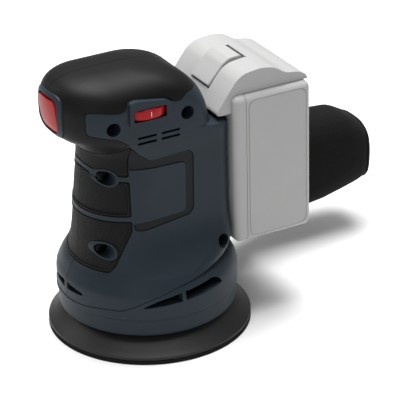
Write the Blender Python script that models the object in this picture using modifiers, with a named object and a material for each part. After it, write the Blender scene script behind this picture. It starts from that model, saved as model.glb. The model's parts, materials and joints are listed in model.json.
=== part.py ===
"""A cordless random-orbital sander with a slide-on battery pack and a dust bag.

Metres, +Z up. The origin is the centre of the sanding face, the motor axis is Z, the nose with the
power switch looks towards -Y, and the battery and the dust bag stand towards +Y. The heights below
count from DATUM under the sanding face; the last step lowers everything by it.
"""

import math

import bmesh
import bpy
from mathutils import Matrix, Vector

# ---------------------------------------------------------------- driving dimensions
DATUM = 0.0050  # height of the sanding face in the tables below
GAP = 0.0003  # clearance between pieces that touch
PAD_R = 0.0622  # a standard 125 mm hook-and-loop pad, its rim slightly inside the disc size
ORBIT = 0.00125  # eccentricity of the spindle, half of a 2.5 mm orbit
SKIRT_R = 0.0553
SKIRT_CENTRE = (0.0, -0.0024)  # X and Y
SKIRT_Z = 0.0208
WALL = 0.0032  # housing shell
RUBBER = 0.0016  # overmoulded rubber
SINK = 0.0004  # the grip pads and the inlay lie this far under the housing's surface
SPLIT = GAP / 2  # each clamshell half ends this far from the X = 0 plane
FAR = 0.090  # reach of a cutter beyond the body

REAR = 0.0405  # flat back of the grip, where the battery rail stands
MOTOR_R = 0.0220
SHAFT_R = 0.0040
FAN_R = 0.0380
BATTERY_HALF = 0.0350
TOP_BLOCK_HALF = 0.0305
BATTERY_SPLIT_Y = 0.0490
BATTERY_SPLIT_Z = 0.1530
ROCKER_HALF = 0.0110
ROCKER_TILT = 5.0  # degrees; the switch rests with its lower end pressed, which is off
ROCKER_PIVOT = (-0.0560, 0.1568)  # Y and Z
WHEEL_CENTRE = (0.0183, -0.0144)  # X and Y
WHEEL_R = 0.0180
WHEEL_Z = (0.1542, 0.1604)
PORT_X = -0.0430
PORT_Z = 0.0405
PORT_R = 0.0140

LARGE, MEDIUM, SMALL = 40, 24, 16  # segments round a turned piece
CORNER_STEPS = 5

# Plan of the outer body at each height: z, front, rear, half width, front round, rear round.
BODY = (
    (0.0300, -0.0574, 0.0526, 0.0550, 0.0548, 0.0548),
    (0.0440, -0.0574, 0.0526, 0.0550, 0.0548, 0.0548),
    (0.0500, -0.0554, 0.0506, 0.0530, 0.0528, 0.0500),
    (0.0550, -0.0529, 0.0440, 0.0500, 0.0498, 0.0420),
    (0.0575, -0.0509, REAR, 0.0478, 0.0476, 0.0320),
    (0.0610, -0.0501, REAR, 0.0445, 0.0443, 0.0240),
    (0.0660, -0.0492, REAR, 0.0405, 0.0403, 0.0150),
    (0.0730, -0.0485, REAR, 0.0365, 0.0363, 0.0110),
    (0.0820, -0.0477, REAR, 0.0340, 0.0338, 0.0100),
    (0.0950, -0.0466, REAR, 0.0330, 0.0328, 0.0090),
    (0.1100, -0.0450, REAR, 0.0328, 0.0326, 0.0090),
    (0.1230, -0.0432, REAR, 0.0328, 0.0326, 0.0090),
    (0.1285, -0.0433, REAR, 0.0330, 0.0325, 0.0090),
    (0.1335, -0.0475, REAR, 0.0334, 0.0315, 0.0095),
    (0.1385, -0.0542, REAR, 0.0337, 0.0305, 0.0100),
    (0.1412, -0.0582, 0.0300, 0.0338, 0.0300, 0.0120),
    (0.1450, -0.0619, 0.0290, 0.0340, 0.0308, 0.0130),
    (0.1520, -0.0640, 0.0278, 0.0340, 0.0316, 0.0140),
    (0.1600, -0.0643, 0.0250, 0.0338, 0.0318, 0.0160),
    (0.1665, -0.0640, 0.0205, 0.0318, 0.0308, 0.0170),
    (0.1710, -0.0624, 0.0150, 0.0284, 0.0280, 0.0170),
    (0.1745, -0.0590, 0.0085, 0.0236, 0.0234, 0.0160),
    (0.1770, -0.0531, 0.0000, 0.0178, 0.0176, 0.0150),
    (0.1785, -0.0442, -0.0080, 0.0115, 0.0113, 0.0110),
    (0.1790, -0.0345, -0.0190, 0.0060, 0.0055, 0.0055),
)
DOME_Z = 0.1560  # above this height an inner form also moves down, to keep the wall under the dome

# Outlines in the side view, Y and Z, seen on the flank.
ARM_LOWER = (
    (-0.0525, 0.1492),
    (-0.0444, 0.1472),
    (-0.0353, 0.1449),
    (-0.0285, 0.1400),
)
ARM_UPPER = (
    (-0.0525, 0.1636),
    (-0.0437, 0.1630),
    (-0.0326, 0.1613),
    (-0.0290, 0.1630),
    (-0.0280, 0.1668),
    (-0.0233, 0.1676),
    (-0.0038, 0.1645),
    (0.0012, 0.1612),
    (0.0062, 0.1608),
    (0.0100, 0.1640),
    (0.0400, 0.1640),
)
CAP_LOWER = (
    (-0.0900, 0.1260),
    (-0.0500, 0.1268),
    (-0.0450, 0.1292),
    (-0.0410, 0.1323),
    (-0.0360, 0.1362),
    (-0.0290, 0.1392),
)
GRIP_UPPER = (
    (-0.0270, 0.1175),
    (-0.0270, 0.1384),
    (-0.0290, 0.1380),
    (-0.0360, 0.1350),
    (-0.0410, 0.1311),
    (-0.0450, 0.1280),
    (-0.0500, 0.1256),
    (-0.0900, 0.1248),
    (-0.0900, 0.1240),
    (-0.0480, 0.1240),
    (-0.0420, 0.1196),
    (-0.0350, 0.1176),
)
GRIP_MIDDLE = (
    (-0.0270, 0.0922),
    (-0.0270, 0.1140),
    (-0.0350, 0.1142),
    (-0.0425, 0.1164),
    (-0.0485, 0.1206),
    (-0.0900, 0.1206),
    (-0.0900, 0.0922),
)
GRIP_LOWER = (
    (-0.0270, 0.0888),
    (-0.0900, 0.0888),
    (-0.0900, 0.0555),
    (-0.0415, 0.0578),
    (-0.0382, 0.0620),
    (-0.0272, 0.0825),
)
INLAY = (
    (-0.0262, 0.1370),
    (-0.0218, 0.1316),
    (-0.0145, 0.1262),
    (0.0112, 0.1272),
    (0.0140, 0.1242),
    (0.0134, 0.0892),
    (0.0104, 0.0860),
    (-0.0210, 0.0824),
    (-0.0250, 0.0832),
    (-0.0260, 0.0868),
    (-0.0223, 0.0870),
    (0.0066, 0.0883),
    (0.0086, 0.0903),
    (0.0092, 0.1186),
    (0.0076, 0.1208),
    (-0.0240, 0.1218),
    (-0.0262, 0.1218),
)
APRON_LINE = (
    (-0.0900, 0.0330),
    (-0.0600, 0.0335),
    (-0.0480, 0.0372),
    (-0.0406, 0.0372),
    (-0.0350, 0.0402),
    (-0.0250, 0.0455),
    (-0.0090, 0.0505),
    (0.0080, 0.0535),
    (0.0250, 0.0565),
    (0.0450, 0.0590),
    (0.0900, 0.0600),
)
SIDE_VENT = (
    (-0.0310, 0.0393),
    (-0.0180, 0.0405),
    (-0.0050, 0.0415),
    (0.0100, 0.0425),
    (0.0235, 0.0437),
    (0.0210, 0.0470),
    (0.0167, 0.0492),
    (0.0110, 0.0488),
    (-0.0070, 0.0470),
    (-0.0200, 0.0445),
    (-0.0270, 0.0418),
)
DIAL_FRAME = (
    (-0.0279, 0.1515),
    (-0.0004, 0.1508),
    (0.0006, 0.1625),
    (-0.0039, 0.1640),
    (-0.0234, 0.1668),
    (-0.0276, 0.1660),
)
# Screws that close the clamshell: Y, Z and the X where the head rests.
SCREWS = (
    (-0.0376, 0.1520, 0.0230),
    (0.0104, 0.1520, 0.0230),
    (-0.0372, 0.1156, 0.0140),
    (-0.0412, 0.0700, 0.0150),
    (0.0298, 0.0650, 0.0210),
)
BATTERY_TOP = (  # side profile of the block that leans over the back of the head
    (0.0330, 0.1424),
    (0.0312, 0.1440),
    (0.0400, 0.1560),
    (0.0455, 0.1628),
    (0.0510, 0.1660),
    (0.0620, 0.1672),
    (0.0710, 0.1655),
    (0.0790, 0.1602),
    (0.0870, 0.1592),
    (0.0930, 0.1566),
    (0.0940, 0.1530),
)
BAG = (  # y, centre x, centre z, half width, half height, squareness of the section
    (0.0760, PORT_X, PORT_Z, 0.0182, 0.0182, 1.0),
    (0.0880, PORT_X, PORT_Z, 0.0186, 0.0184, 1.0),
    (0.0950, -0.0450, PORT_Z, 0.0190, 0.0186, 1.0),
    (0.1030, -0.0485, 0.0460, 0.0215, 0.0240, 0.85),
    (0.1130, -0.0515, 0.0535, 0.0232, 0.0290, 0.72),
    (0.1300, -0.0520, 0.0585, 0.0235, 0.0315, 0.66),
    (0.1520, -0.0520, 0.0608, 0.0235, 0.0305, 0.66),
    (0.1660, -0.0518, 0.0622, 0.0232, 0.0278, 0.66),
    (0.1765, -0.0515, 0.0612, 0.0224, 0.0232, 0.66),
    (0.1820, -0.0515, 0.0598, 0.0205, 0.0192, 0.66),
    (0.1840, -0.0515, 0.0592, 0.0172, 0.0158, 0.66),
)


# ---------------------------------------------------------------- scene and materials
def clear_scene():
    for obj in list(bpy.data.objects):
        bpy.data.objects.remove(obj, do_unlink=True)


def new_collection(name):
    group = bpy.data.collections.new(name)
    bpy.context.scene.collection.children.link(group)
    return group


def new_material(name, colour, roughness, metallic=0.0):
    """A plain Principled material; the colour is sRGB, 0 to 255."""
    made = bpy.data.materials.new(name)
    made.use_nodes = True
    shader = made.node_tree.nodes["Principled BSDF"]
    linear = [(c / 255) ** 2.2 for c in colour]
    shader.inputs["Base Color"].default_value = (*linear, 1.0)
    shader.inputs["Roughness"].default_value = roughness
    shader.inputs["Metallic"].default_value = metallic
    return made


clear_scene()
PARTS = new_collection("orbital_sander")
CUTTERS = new_collection("cutters")

HOUSING_ABS = new_material("housing_abs", (47, 54, 59), 0.45)
SOFT_RUBBER = new_material("soft_rubber", (35, 34, 33), 0.7)
RED_ABS = new_material("red_abs", (190, 25, 30), 0.35)
DARK_ABS = new_material("dark_abs", (28, 28, 30), 0.5)
PAD_FOAM = new_material("pad_foam", (40, 38, 40), 0.5)
HOOK_NYLON = new_material("hook_nylon", (30, 30, 31), 0.9)
ABRASIVE = new_material("abrasive_paper", (120, 84, 54), 0.95)
FABRIC = new_material("bag_fabric", (20, 20, 20), 0.95)
PALE_ABS = new_material("pale_abs", (175, 172, 170), 0.45)
STEEL = new_material("steel", (150, 152, 155), 0.3, 1.0)
DARK_STEEL = new_material("dark_steel", (60, 60, 64), 0.35, 1.0)
ZINC = new_material("cast_zinc", (140, 142, 146), 0.5, 1.0)
COPPER = new_material("copper", (180, 100, 60), 0.35, 1.0)
GRAPHITE = new_material("graphite", (45, 44, 44), 0.6)
BOARD = new_material("circuit_board", (30, 80, 50), 0.5)
CELL_WRAP = new_material("cell_wrap", (60, 110, 150), 0.4)


# ---------------------------------------------------------------- modelling helpers
def add_piece(name, mesh, material, group=PARTS):
    obj = bpy.data.objects.new(name, mesh)
    group.objects.link(obj)
    if material:
        mesh.materials.append(material)
    return obj


def mesh_from(name, bm):
    bmesh.ops.recalc_face_normals(bm, faces=bm.faces)
    mesh = bpy.data.meshes.new(name)
    bm.to_mesh(mesh)
    bm.free()
    return mesh


def as_cutter(obj):
    obj.hide_render = True
    obj.display_type = "WIRE"
    return obj


def boolean(obj, other, operation="DIFFERENCE"):
    modifier = obj.modifiers.new(operation.lower(), "BOOLEAN")
    modifier.operation = operation
    modifier.solver = "EXACT"
    modifier.object = other
    return obj


def cut(obj, *cutters):
    for cutter in cutters:
        boolean(obj, cutter, "DIFFERENCE")
    return obj


def unite(obj, *others):
    for other in others:
        boolean(obj, other, "UNION")
    return obj


def box(name, low, high, material=None, group=PARTS, bevel=0.0):
    """A box between two corners, with rounded edges when bevel is above 0."""
    bm = bmesh.new()
    bmesh.ops.create_cube(bm, size=1.0)
    size = Vector(high) - Vector(low)
    middle = (Vector(high) + Vector(low)) / 2
    bmesh.ops.scale(bm, vec=size, verts=bm.verts)
    bmesh.ops.translate(bm, vec=middle, verts=bm.verts)
    if bevel:
        bmesh.ops.bevel(bm, geom=bm.edges[:], offset=bevel, segments=2, profile=0.5, affect="EDGES")
    return add_piece(name, mesh_from(name, bm), material, group)


def prism(name, outline, low, high, axis="X", material=None, group=PARTS):
    """An outline pushed along an axis: Y and Z points along X, X and Z along Y, X and Y along Z."""
    place = {
        "X": lambda a, b: (low, a, b),
        "Y": lambda a, b: (a, low, b),
        "Z": lambda a, b: (a, b, low),
    }[axis]
    way = Vector([(high - low) * (axis == letter) for letter in "XYZ"])
    bm = bmesh.new()
    face = bm.faces.new([bm.verts.new(place(a, b)) for a, b in outline])
    pushed = bmesh.ops.extrude_face_region(bm, geom=[face])
    moved = [item for item in pushed["geom"] if isinstance(item, bmesh.types.BMVert)]
    bmesh.ops.translate(bm, vec=way, verts=moved)
    return add_piece(name, mesh_from(name, bm), material, group)


def rod(name, centre, radius, low, high, axis="X", segments=SMALL, material=None, group=PARTS):
    """A cylinder along an axis; centre gives the two other coordinates in order."""
    bm = bmesh.new()
    bmesh.ops.create_cone(
        bm, cap_ends=True, segments=segments, radius1=radius, radius2=radius, depth=high - low
    )
    middle = (low + high) / 2
    if axis == "X":
        turn = Matrix.Rotation(math.radians(90), 3, "Y")
        shift = (middle, centre[0], centre[1])
    elif axis == "Y":
        turn = Matrix.Rotation(math.radians(90), 3, "X")
        shift = (centre[0], middle, centre[1])
    else:
        turn = Matrix.Identity(3)
        shift = (centre[0], centre[1], middle)
    bmesh.ops.rotate(bm, matrix=turn, verts=bm.verts)
    bmesh.ops.translate(bm, vec=shift, verts=bm.verts)
    return add_piece(name, mesh_from(name, bm), material, group)


def turned(name, profile, material, centre=(0.0, 0.0), segments=LARGE, ring=False, group=PARTS):
    """A profile of radius and height, down its outer side, turned about a vertical axis."""
    mesh = bpy.data.meshes.new(name)
    points = [(r, 0.0, z) for r, z in profile]
    edges = [(i, i + 1) for i in range(len(points) - 1)]
    if ring:
        edges.append((len(points) - 1, 0))
    mesh.from_pydata(points, edges, [])
    obj = add_piece(name, mesh, material, group)
    obj.location = (centre[0], centre[1], 0.0)
    screw = obj.modifiers.new("turn", "SCREW")
    screw.steps = screw.render_steps = segments
    screw.use_merge_vertices = True
    screw.merge_threshold = 0.00001
    screw.use_smooth_shade = True
    return obj


def washer(name, inner, outer, low, high, material, centre=(0.0, 0.0), segments=MEDIUM):
    profile = ((outer, high), (outer, low), (inner, low), (inner, high))
    return turned(name, profile, material, centre, segments, ring=True)


def loft(name, rings, material=None, group=PARTS):
    """A closed skin through rings of as many points each."""
    bm = bmesh.new()
    rows = [[bm.verts.new(point) for point in ring] for ring in rings]
    count = len(rows[0])
    for lower, upper in zip(rows, rows[1:]):
        for i in range(count):
            j = (i + 1) % count
            bm.faces.new((lower[i], lower[j], upper[j], upper[i]))
    bm.faces.new(list(reversed(rows[0])))
    bm.faces.new(rows[-1])
    return add_piece(name, mesh_from(name, bm), material, group)


def plan_ring(station, inset=0.0):
    """The round-cornered plan outline of one body station, anticlockwise from the front."""
    z, front, rear, half, round_front, round_rear = station
    front, rear, half = front + inset, rear - inset, half - inset
    round_front = max(round_front - inset, 0.001)
    round_rear = max(round_rear - inset, 0.001)
    corners = (
        (half - round_front, front + round_front, round_front, -90),
        (half - round_rear, rear - round_rear, round_rear, 0),
        (round_rear - half, rear - round_rear, round_rear, 90),
        (round_front - half, front + round_front, round_front, 180),
    )
    dome = max(0.0, (z - DOME_Z) / (BODY[-1][0] - DOME_Z))
    height = z - inset * min(1.0, 2 * dome)
    ring = []
    for x, y, radius, start in corners:
        for step in range(CORNER_STEPS + 1):
            turn = math.radians(start + 90 * step / CORNER_STEPS)
            ring.append((x + radius * math.cos(turn), y + radius * math.sin(turn), height))
    return ring


def body_form(name, inset):
    """The outer body, or the same form shrunk by inset; a shrunk one also runs out below."""
    stations = [s for s in BODY if s[3] - inset > 0.0015 and s[2] - s[1] > 2 * inset + 0.003]
    rings = [plan_ring(station, inset) for station in stations]
    if inset:
        rings.insert(0, [(x, y, z - 0.004) for x, y, z in rings[0]])
    return as_cutter(loft(name, rings, None, CUTTERS))


def grown(outline, amount):
    """The outline moved outwards by amount along the mean normal of each corner's two sides."""
    count = len(outline)
    area = sum(
        outline[i][0] * outline[(i + 1) % count][1] - outline[(i + 1) % count][0] * outline[i][1]
        for i in range(count)
    )
    sign = 1 if area > 0 else -1
    moved = []
    for i, point in enumerate(outline):
        here = Vector(point)
        before = (here - Vector(outline[i - 1])).normalized()
        after = (Vector(outline[(i + 1) % count]) - here).normalized()
        normal = Vector((before.y + after.y, -before.x - after.x)) * sign
        cosine = max(0.35, math.sqrt(max(0.0, (1 + before.dot(after)) / 2)))
        here = here + normal.normalized() * amount / cosine
        moved.append((here.x, here.y))
    return moved


def side_cutter(name, outline, side, near=SPLIT, far=FAR):
    low, high = sorted((side * near, side * far))
    return as_cutter(prism(name, outline, low, high, "X", None, CUTTERS))


def box_cutter(name, low, high):
    return as_cutter(box(name, low, high, None, CUTTERS))


def rod_cutter(name, centre, radius, low, high, axis="X", segments=SMALL):
    return as_cutter(rod(name, centre, radius, low, high, axis, segments, None, CUTTERS))


# ---------------------------------------------------------------- shared forms and cutters
OUTER = body_form("form_outer", 0.0)
SUNK = body_form("form_sunk", SINK)
RUBBER_BACK = body_form("form_rubber_back", RUBBER)
POCKET_FLOOR = body_form("form_pocket_floor", RUBBER + GAP)
INNER = body_form("form_inner", WALL)

CAP_REGION = CAP_LOWER + ARM_LOWER[::-1] + ARM_UPPER + ((0.0400, 0.2000), (-0.0900, 0.2000))
RUBBER_REGIONS = {
    "head_cap": (CAP_REGION, OUTER),
    "grip_upper": (GRIP_UPPER, SUNK),
    "grip_middle": (GRIP_MIDDLE, SUNK),
    "grip_lower": (GRIP_LOWER, SUNK),
    "label_inlay": (INLAY, SUNK),
}
BEZEL_LOW, BEZEL_HIGH = 0.1432, 0.1704
ROCKER_LOW, ROCKER_HIGH = 0.1462, 0.1672
BEZEL_HALF = ROCKER_HALF + 0.0045


def switch_opening():
    return box_cutter(
        "cut_switch",
        (-BEZEL_HALF - GAP, -0.0900, BEZEL_LOW - GAP),
        (BEZEL_HALF + GAP, -0.0480, BEZEL_HIGH + GAP),
    )


def apron_below():
    """Everything under the clamshell's lower edge."""
    outline = APRON_LINE + ((0.0900, 0.0000), (-0.0900, 0.0000))
    return as_cutter(prism("cut_below_apron", outline, -FAR, FAR, "X", None, CUTTERS))


SWITCH_OPENING = switch_opening()
BELOW_APRON = apron_below()


# ---------------------------------------------------------------- clamshell and its rubber
def screw_boss(name, y, z, side):
    """A boss from the split plane out to the wall, trimmed to stay under the rubber."""
    low, high = sorted((side * -0.0050, side * FAR))
    boss = as_cutter(rod(name, (y, z), 0.0052, low, high, "X", SMALL, None, CUTTERS))
    return boolean(boss, POCKET_FLOOR, "INTERSECT")


def housing_half(name, side):
    """One half of the clamshell, with pockets for the rubber, screw bosses, vents and openings."""
    low, high = sorted((side * -0.0100, side * FAR))
    half = box(name, (low, -FAR, 0.0), (high, FAR, 0.200), HOUSING_ABS)
    boolean(half, OUTER, "INTERSECT")
    if side > 0:
        frame = prism("dial_frame", DIAL_FRAME, 0.0300, 0.0352, "X", None, CUTTERS)
        unite(half, as_cutter(frame))
    for region, (outline, _) in RUBBER_REGIONS.items():
        pocket = side_cutter(f"pocket_{region}_{name}", grown(outline, GAP), side, near=-0.0150)
        boolean(pocket, POCKET_FLOOR, "DIFFERENCE")
        cut(half, pocket)
    cut(half, INNER, BELOW_APRON, SWITCH_OPENING, RAIL_OPENING)
    for index, (y, z, seat) in enumerate(SCREWS, 1):
        unite(half, screw_boss(f"boss_{index}_{name}", y, z, side))
        if side > 0:
            cut(half, rod_cutter(f"counterbore_{index}", (y, z), 0.0042, seat, FAR))
            cut(half, rod_cutter(f"clearance_{index}", (y, z), 0.0021, -0.012, FAR))
        else:
            cut(half, rod_cutter(f"pilot_{index}", (y, z), 0.0021, -seat_tip(seat), 0.012))
    for index, height in enumerate((0.1428, 0.1392)):
        for start, end in ((-0.0226, -0.0101), (-0.0071, 0.0052)):
            reach = sorted((side * 0.0290, side * FAR))
            slot = box_cutter(
                f"slot_{index}_{name}_{start:.4f}",
                (reach[0], start, height - 0.0008),
                (reach[1], end, height + 0.0008),
            )
            cut(half, slot)
    front_vent = box_cutter(
        f"front_vent_{name}",
        (min(side * 0.0015, side * 0.0170), -0.0700, 0.0400),
        (max(side * 0.0015, side * 0.0170), -0.0470, 0.0432),
    )
    cut(half, front_vent)
    if side > 0:
        x, y = WHEEL_CENTRE
        window = box_cutter("wheel_window", (0.0270, -0.0251, 0.1537), (FAR, -0.0037, 0.1609))
        cut(half, window)
        cut(half, rod_cutter("wheel_room", (x, y), WHEEL_R + 0.0008, 0.1537, 0.1609, "Z", LARGE))
    low, high = sorted((side * -0.0200, side * SPLIT))
    return cut(half, box_cutter(f"split_{name}", (low, -FAR, -0.010), (high, FAR, 0.210)))


def seat_tip(seat):
    """How far past the split plane a screw's pilot hole runs, for its head's seat."""
    return SCREW_LENGTH - seat + 0.001


def rubber_piece(name, region, side):
    """A rubber overmould: the body's skin inside one outline of the side view."""
    outline, surface = RUBBER_REGIONS[region]
    low, high = sorted((side * SPLIT, side * FAR))
    piece = prism(name, outline, low, high, "X", SOFT_RUBBER)
    boolean(piece, surface, "INTERSECT")
    cut(piece, RUBBER_BACK)
    if region == "head_cap":
        cut(piece, SWITCH_OPENING)
        if side > 0:
            frame = prism("cut_dial_frame", grown(DIAL_FRAME, GAP), 0.0200, FAR, "X", None, CUTTERS)
            cut(piece, as_cutter(frame))
    if region.startswith("grip") and side > 0:
        for y, z, seat in SCREWS[2:4]:
            hole = rod_cutter(f"hole_{name}_{z:.3f}", (y, z), 0.0058, seat, FAR)
            cut(piece, hole)
    return piece


SCREW_LENGTH = 0.0280
RAIL_LOW, RAIL_HIGH = 0.0710, 0.1340
RAIL_OPENING = box_cutter(
    "cut_rail", (-0.0240 - GAP, 0.0300, RAIL_LOW - GAP), (0.0240 + GAP, 0.0600, RAIL_HIGH + GAP)
)


def housing_screw(name, y, z, seat):
    """A pan-head screw across the clamshell, its head down in the counterbore."""
    head = rod(name, (y, z), 0.0034, seat + GAP, seat + GAP + 0.0024, "X", SMALL, DARK_STEEL)
    shank = rod(f"{name}_shank", (y, z), 0.0016, seat - SCREW_LENGTH, seat + 0.001, "X", 12, None, CUTTERS)
    socket = rod_cutter(f"{name}_socket", (y, z), 0.0013, seat + 0.0016, FAR, "X", 6)
    return cut(unite(head, as_cutter(shank)), socket)


def clamshell():
    for side, word in ((1, "right"), (-1, "left")):
        housing_half(f"housing_{word}", side)
        for region in RUBBER_REGIONS:
            rubber_piece(f"{region}_{word}", region, side)
    for index, (y, z, seat) in enumerate(SCREWS, 1):
        housing_screw(f"housing_screw_{index}", y, z, seat)


# ---------------------------------------------------------------- power switch and speed dial
def power_switch():
    """A rocker between the halves at the nose, in a frame of its own."""
    bezel = box(
        "switch_bezel",
        (-BEZEL_HALF, -0.0800, BEZEL_LOW),
        (BEZEL_HALF, -0.0565, BEZEL_HIGH),
        HOUSING_ABS,
    )
    proud = body_form("form_bezel", -0.0007)
    boolean(bezel, proud, "INTERSECT")
    room = 0.0008
    opening = box_cutter(
        "cut_bezel",
        (-ROCKER_HALF - room, -0.0900, ROCKER_LOW - room),
        (ROCKER_HALF + room, -0.0400, ROCKER_HIGH + room),
    )
    cut(bezel, opening)

    rocker = box(
        "power_switch",
        (-ROCKER_HALF, -0.0800, ROCKER_LOW),
        (ROCKER_HALF, ROCKER_PIVOT[0], ROCKER_HIGH),
        RED_ABS,
    )
    boolean(rocker, body_form("form_rocker", -0.0004), "INTERSECT")
    stem = rod("rocker_stem", ROCKER_PIVOT, 0.0030, -0.0100, 0.0100, "X", SMALL, None, CUTTERS)
    unite(rocker, as_cutter(stem))
    tilt_about(rocker, ROCKER_PIVOT, ROCKER_TILT)

    box("power_switch_body", (-0.0125, -0.0520, 0.1490), (0.0125, -0.0432, 0.1650), DARK_ABS, bevel=0.0008)


def tilt_about(obj, pivot, degrees):
    """Applies the modifiers and turns the mesh about an axis along X through the pivot."""
    graph = bpy.context.evaluated_depsgraph_get()
    mesh = bpy.data.meshes.new_from_object(obj.evaluated_get(graph))
    centre = Vector((0.0, pivot[0], pivot[1]))
    turn = Matrix.Rotation(math.radians(degrees), 4, "X")
    mesh.transform(Matrix.Translation(centre) @ turn @ Matrix.Translation(-centre))
    obj.modifiers.clear()
    obj.data = mesh
    return obj


def speed_dial():
    """A knurled thumbwheel on the spindle of its potentiometer, showing through the window."""
    x, y = WHEEL_CENTRE
    low, high = WHEEL_Z
    wheel = turned(
        "speed_wheel",
        (
            (0.0, high),
            (WHEEL_R - 0.0006, high),
            (WHEEL_R, high - 0.0006),
            (WHEEL_R, low + 0.0006),
            (WHEEL_R - 0.0006, low),
            (0.0, low),
        ),
        RED_ABS,
        (x, y),
    )
    cut(wheel, rod_cutter("wheel_bore", (x, y), 0.0031, low - 0.001, low + 0.0045, "Z"))
    pot = turned(
        "speed_potentiometer",
        ((0.0, 0.1580), (0.0027, 0.1580), (0.0027, 0.1522), (0.0080, 0.1518), (0.0080, 0.1462), (0.0, 0.1462)),
        DARK_ABS,
        (x, y),
        MEDIUM,
    )
    box("control_board", (-0.0200, -0.0280, 0.1436), (0.0290, 0.0060, 0.1452), BOARD)
    return wheel, pot


# ---------------------------------------------------------------- base shroud and dust outlet
def base_shroud():
    """The round skirt under the clamshell, with vents, open to the pad below and the fan above."""
    shroud = turned(
        "base_shroud",
        (
            (0.0470, 0.0540),
            (0.0510, 0.0515),
            (0.0535, 0.0485),
            (SKIRT_R, 0.0440),
            (SKIRT_R, 0.0318),
            (SKIRT_R - 0.0010, 0.0306),
            (SKIRT_R - 0.0010, 0.0220),
            (SKIRT_R - 0.0020, SKIRT_Z),
            (SKIRT_R - 0.0034, SKIRT_Z),
            (SKIRT_R - 0.0034, 0.0280),
            (0.0500, 0.0300),
            (0.0490, 0.0440),
            (0.0400, 0.0505),
            (0.0400, 0.0540),
        ),
        HOUSING_ABS,
        SKIRT_CENTRE,
        ring=True,
    )
    above = ((y, z - GAP) for y, z in APRON_LINE)
    outline = tuple(above) + ((0.0900, 0.0900), (-0.0900, 0.0900))
    sleeve = as_cutter(prism("cut_above_apron", outline, -FAR, FAR, "X", None, CUTTERS))
    cut(sleeve, body_form("form_sleeve", WALL + 2 * GAP))
    cut(shroud, sleeve)
    for side in (1, -1):
        opening = side_cutter(f"side_vent_{side}", SIDE_VENT, side, near=0.0300)
        bar_low, bar_high = sorted((side * 0.0280, side * 0.0960))
        bar = box_cutter(f"vent_bar_{side}", (bar_low, -0.0072, 0.030), (bar_high, -0.0048, 0.060))
        cut(opening, bar)
        cut(shroud, opening)
    outlet = rod("outlet", (PORT_X, PORT_Z - 0.001), 0.0118, 0.0050, 0.0440, "Y", MEDIUM, None, CUTTERS)
    cut(shroud, as_cutter(outlet))
    return shroud


def dust_port():
    """The outlet tube, tangential to the shroud, that the bag's collar slides over."""
    port = rod("dust_port", (PORT_X, PORT_Z), PORT_R, 0.0060, 0.0800, "Y", MEDIUM, HOUSING_ABS)
    cut(port, rod_cutter("keep_out_of_shroud", SKIRT_CENTRE, SKIRT_R + GAP, 0.0, 0.100, "Z", LARGE))
    cut(port, rod_cutter("port_bore", (PORT_X, PORT_Z), PORT_R - 0.0020, -0.02, 0.100, "Y", MEDIUM))
    return port


def dust_bag():
    """The soft bag, a closed solid with its collar's socket."""
    rings = []
    for y, x, z, half_width, half_height, power in BAG:
        ring = []
        for step in range(24):
            turn = 2 * math.pi * step / 24
            c, s = math.cos(turn), math.sin(turn)
            ring.append(
                (
                    x - half_width * math.copysign(abs(c) ** power, c),
                    y,
                    z + half_height * math.copysign(abs(s) ** power, s),
                )
            )
        rings.append(ring)
    bag = loft("dust_bag", rings, FABRIC)
    cut(bag, rod_cutter("bag_mouth", (PORT_X, PORT_Z), PORT_R + 0.0025, 0.060, 0.0860, "Y", MEDIUM))
    for index, ring in enumerate(bag_hollow()):
        ring.name = f"bag_hollow_{index}"
        cut(bag, ring)
    collar = rod(
        "bag_collar", (PORT_X, PORT_Z), PORT_R + 0.0022, 0.0620, 0.0855, "Y", MEDIUM, DARK_ABS
    )
    cut(collar, rod_cutter("collar_bore", (PORT_X, PORT_Z), PORT_R + GAP, 0.050, 0.100, "Y", MEDIUM))
    return bag


def bag_hollow():
    """The room for dust, reached from the bag's mouth."""
    neck = rod_cutter("bag_neck", (PORT_X, PORT_Z), 0.0085, 0.0800, 0.1160, "Y", SMALL)
    room = box_cutter("bag_room", (-0.0650, 0.1140, 0.0400), (-0.0385, 0.1650, 0.0700))
    return neck, room


# ---------------------------------------------------------------- pad, spindle and fan
PAD_CENTRE = (0.0, -ORBIT)
HOLE_COUNT, HOLE_R, HOLE_CIRCLE = 8, 0.0045, 0.0325
BEARING_LOW, BEARING_HIGH, BEARING_R = 0.0165, 0.0250, 0.0130
DISC_TOP = 0.0060
FACE_LOW, FACE_TOP, FACE_R = 0.0063, 0.0073, PAD_R - 0.0002
PAD_LOW = 0.0076


def dust_holes(obj, name, low, high):
    for index in range(HOLE_COUNT):
        turn = 2 * math.pi * (index + 0.5) / HOLE_COUNT
        place = (HOLE_CIRCLE * math.cos(turn), PAD_CENTRE[1] + HOLE_CIRCLE * math.sin(turn))
        cut(obj, rod_cutter(f"{name}_hole_{index}", place, HOLE_R, low, high, "Z", 10))
    return obj


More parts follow.
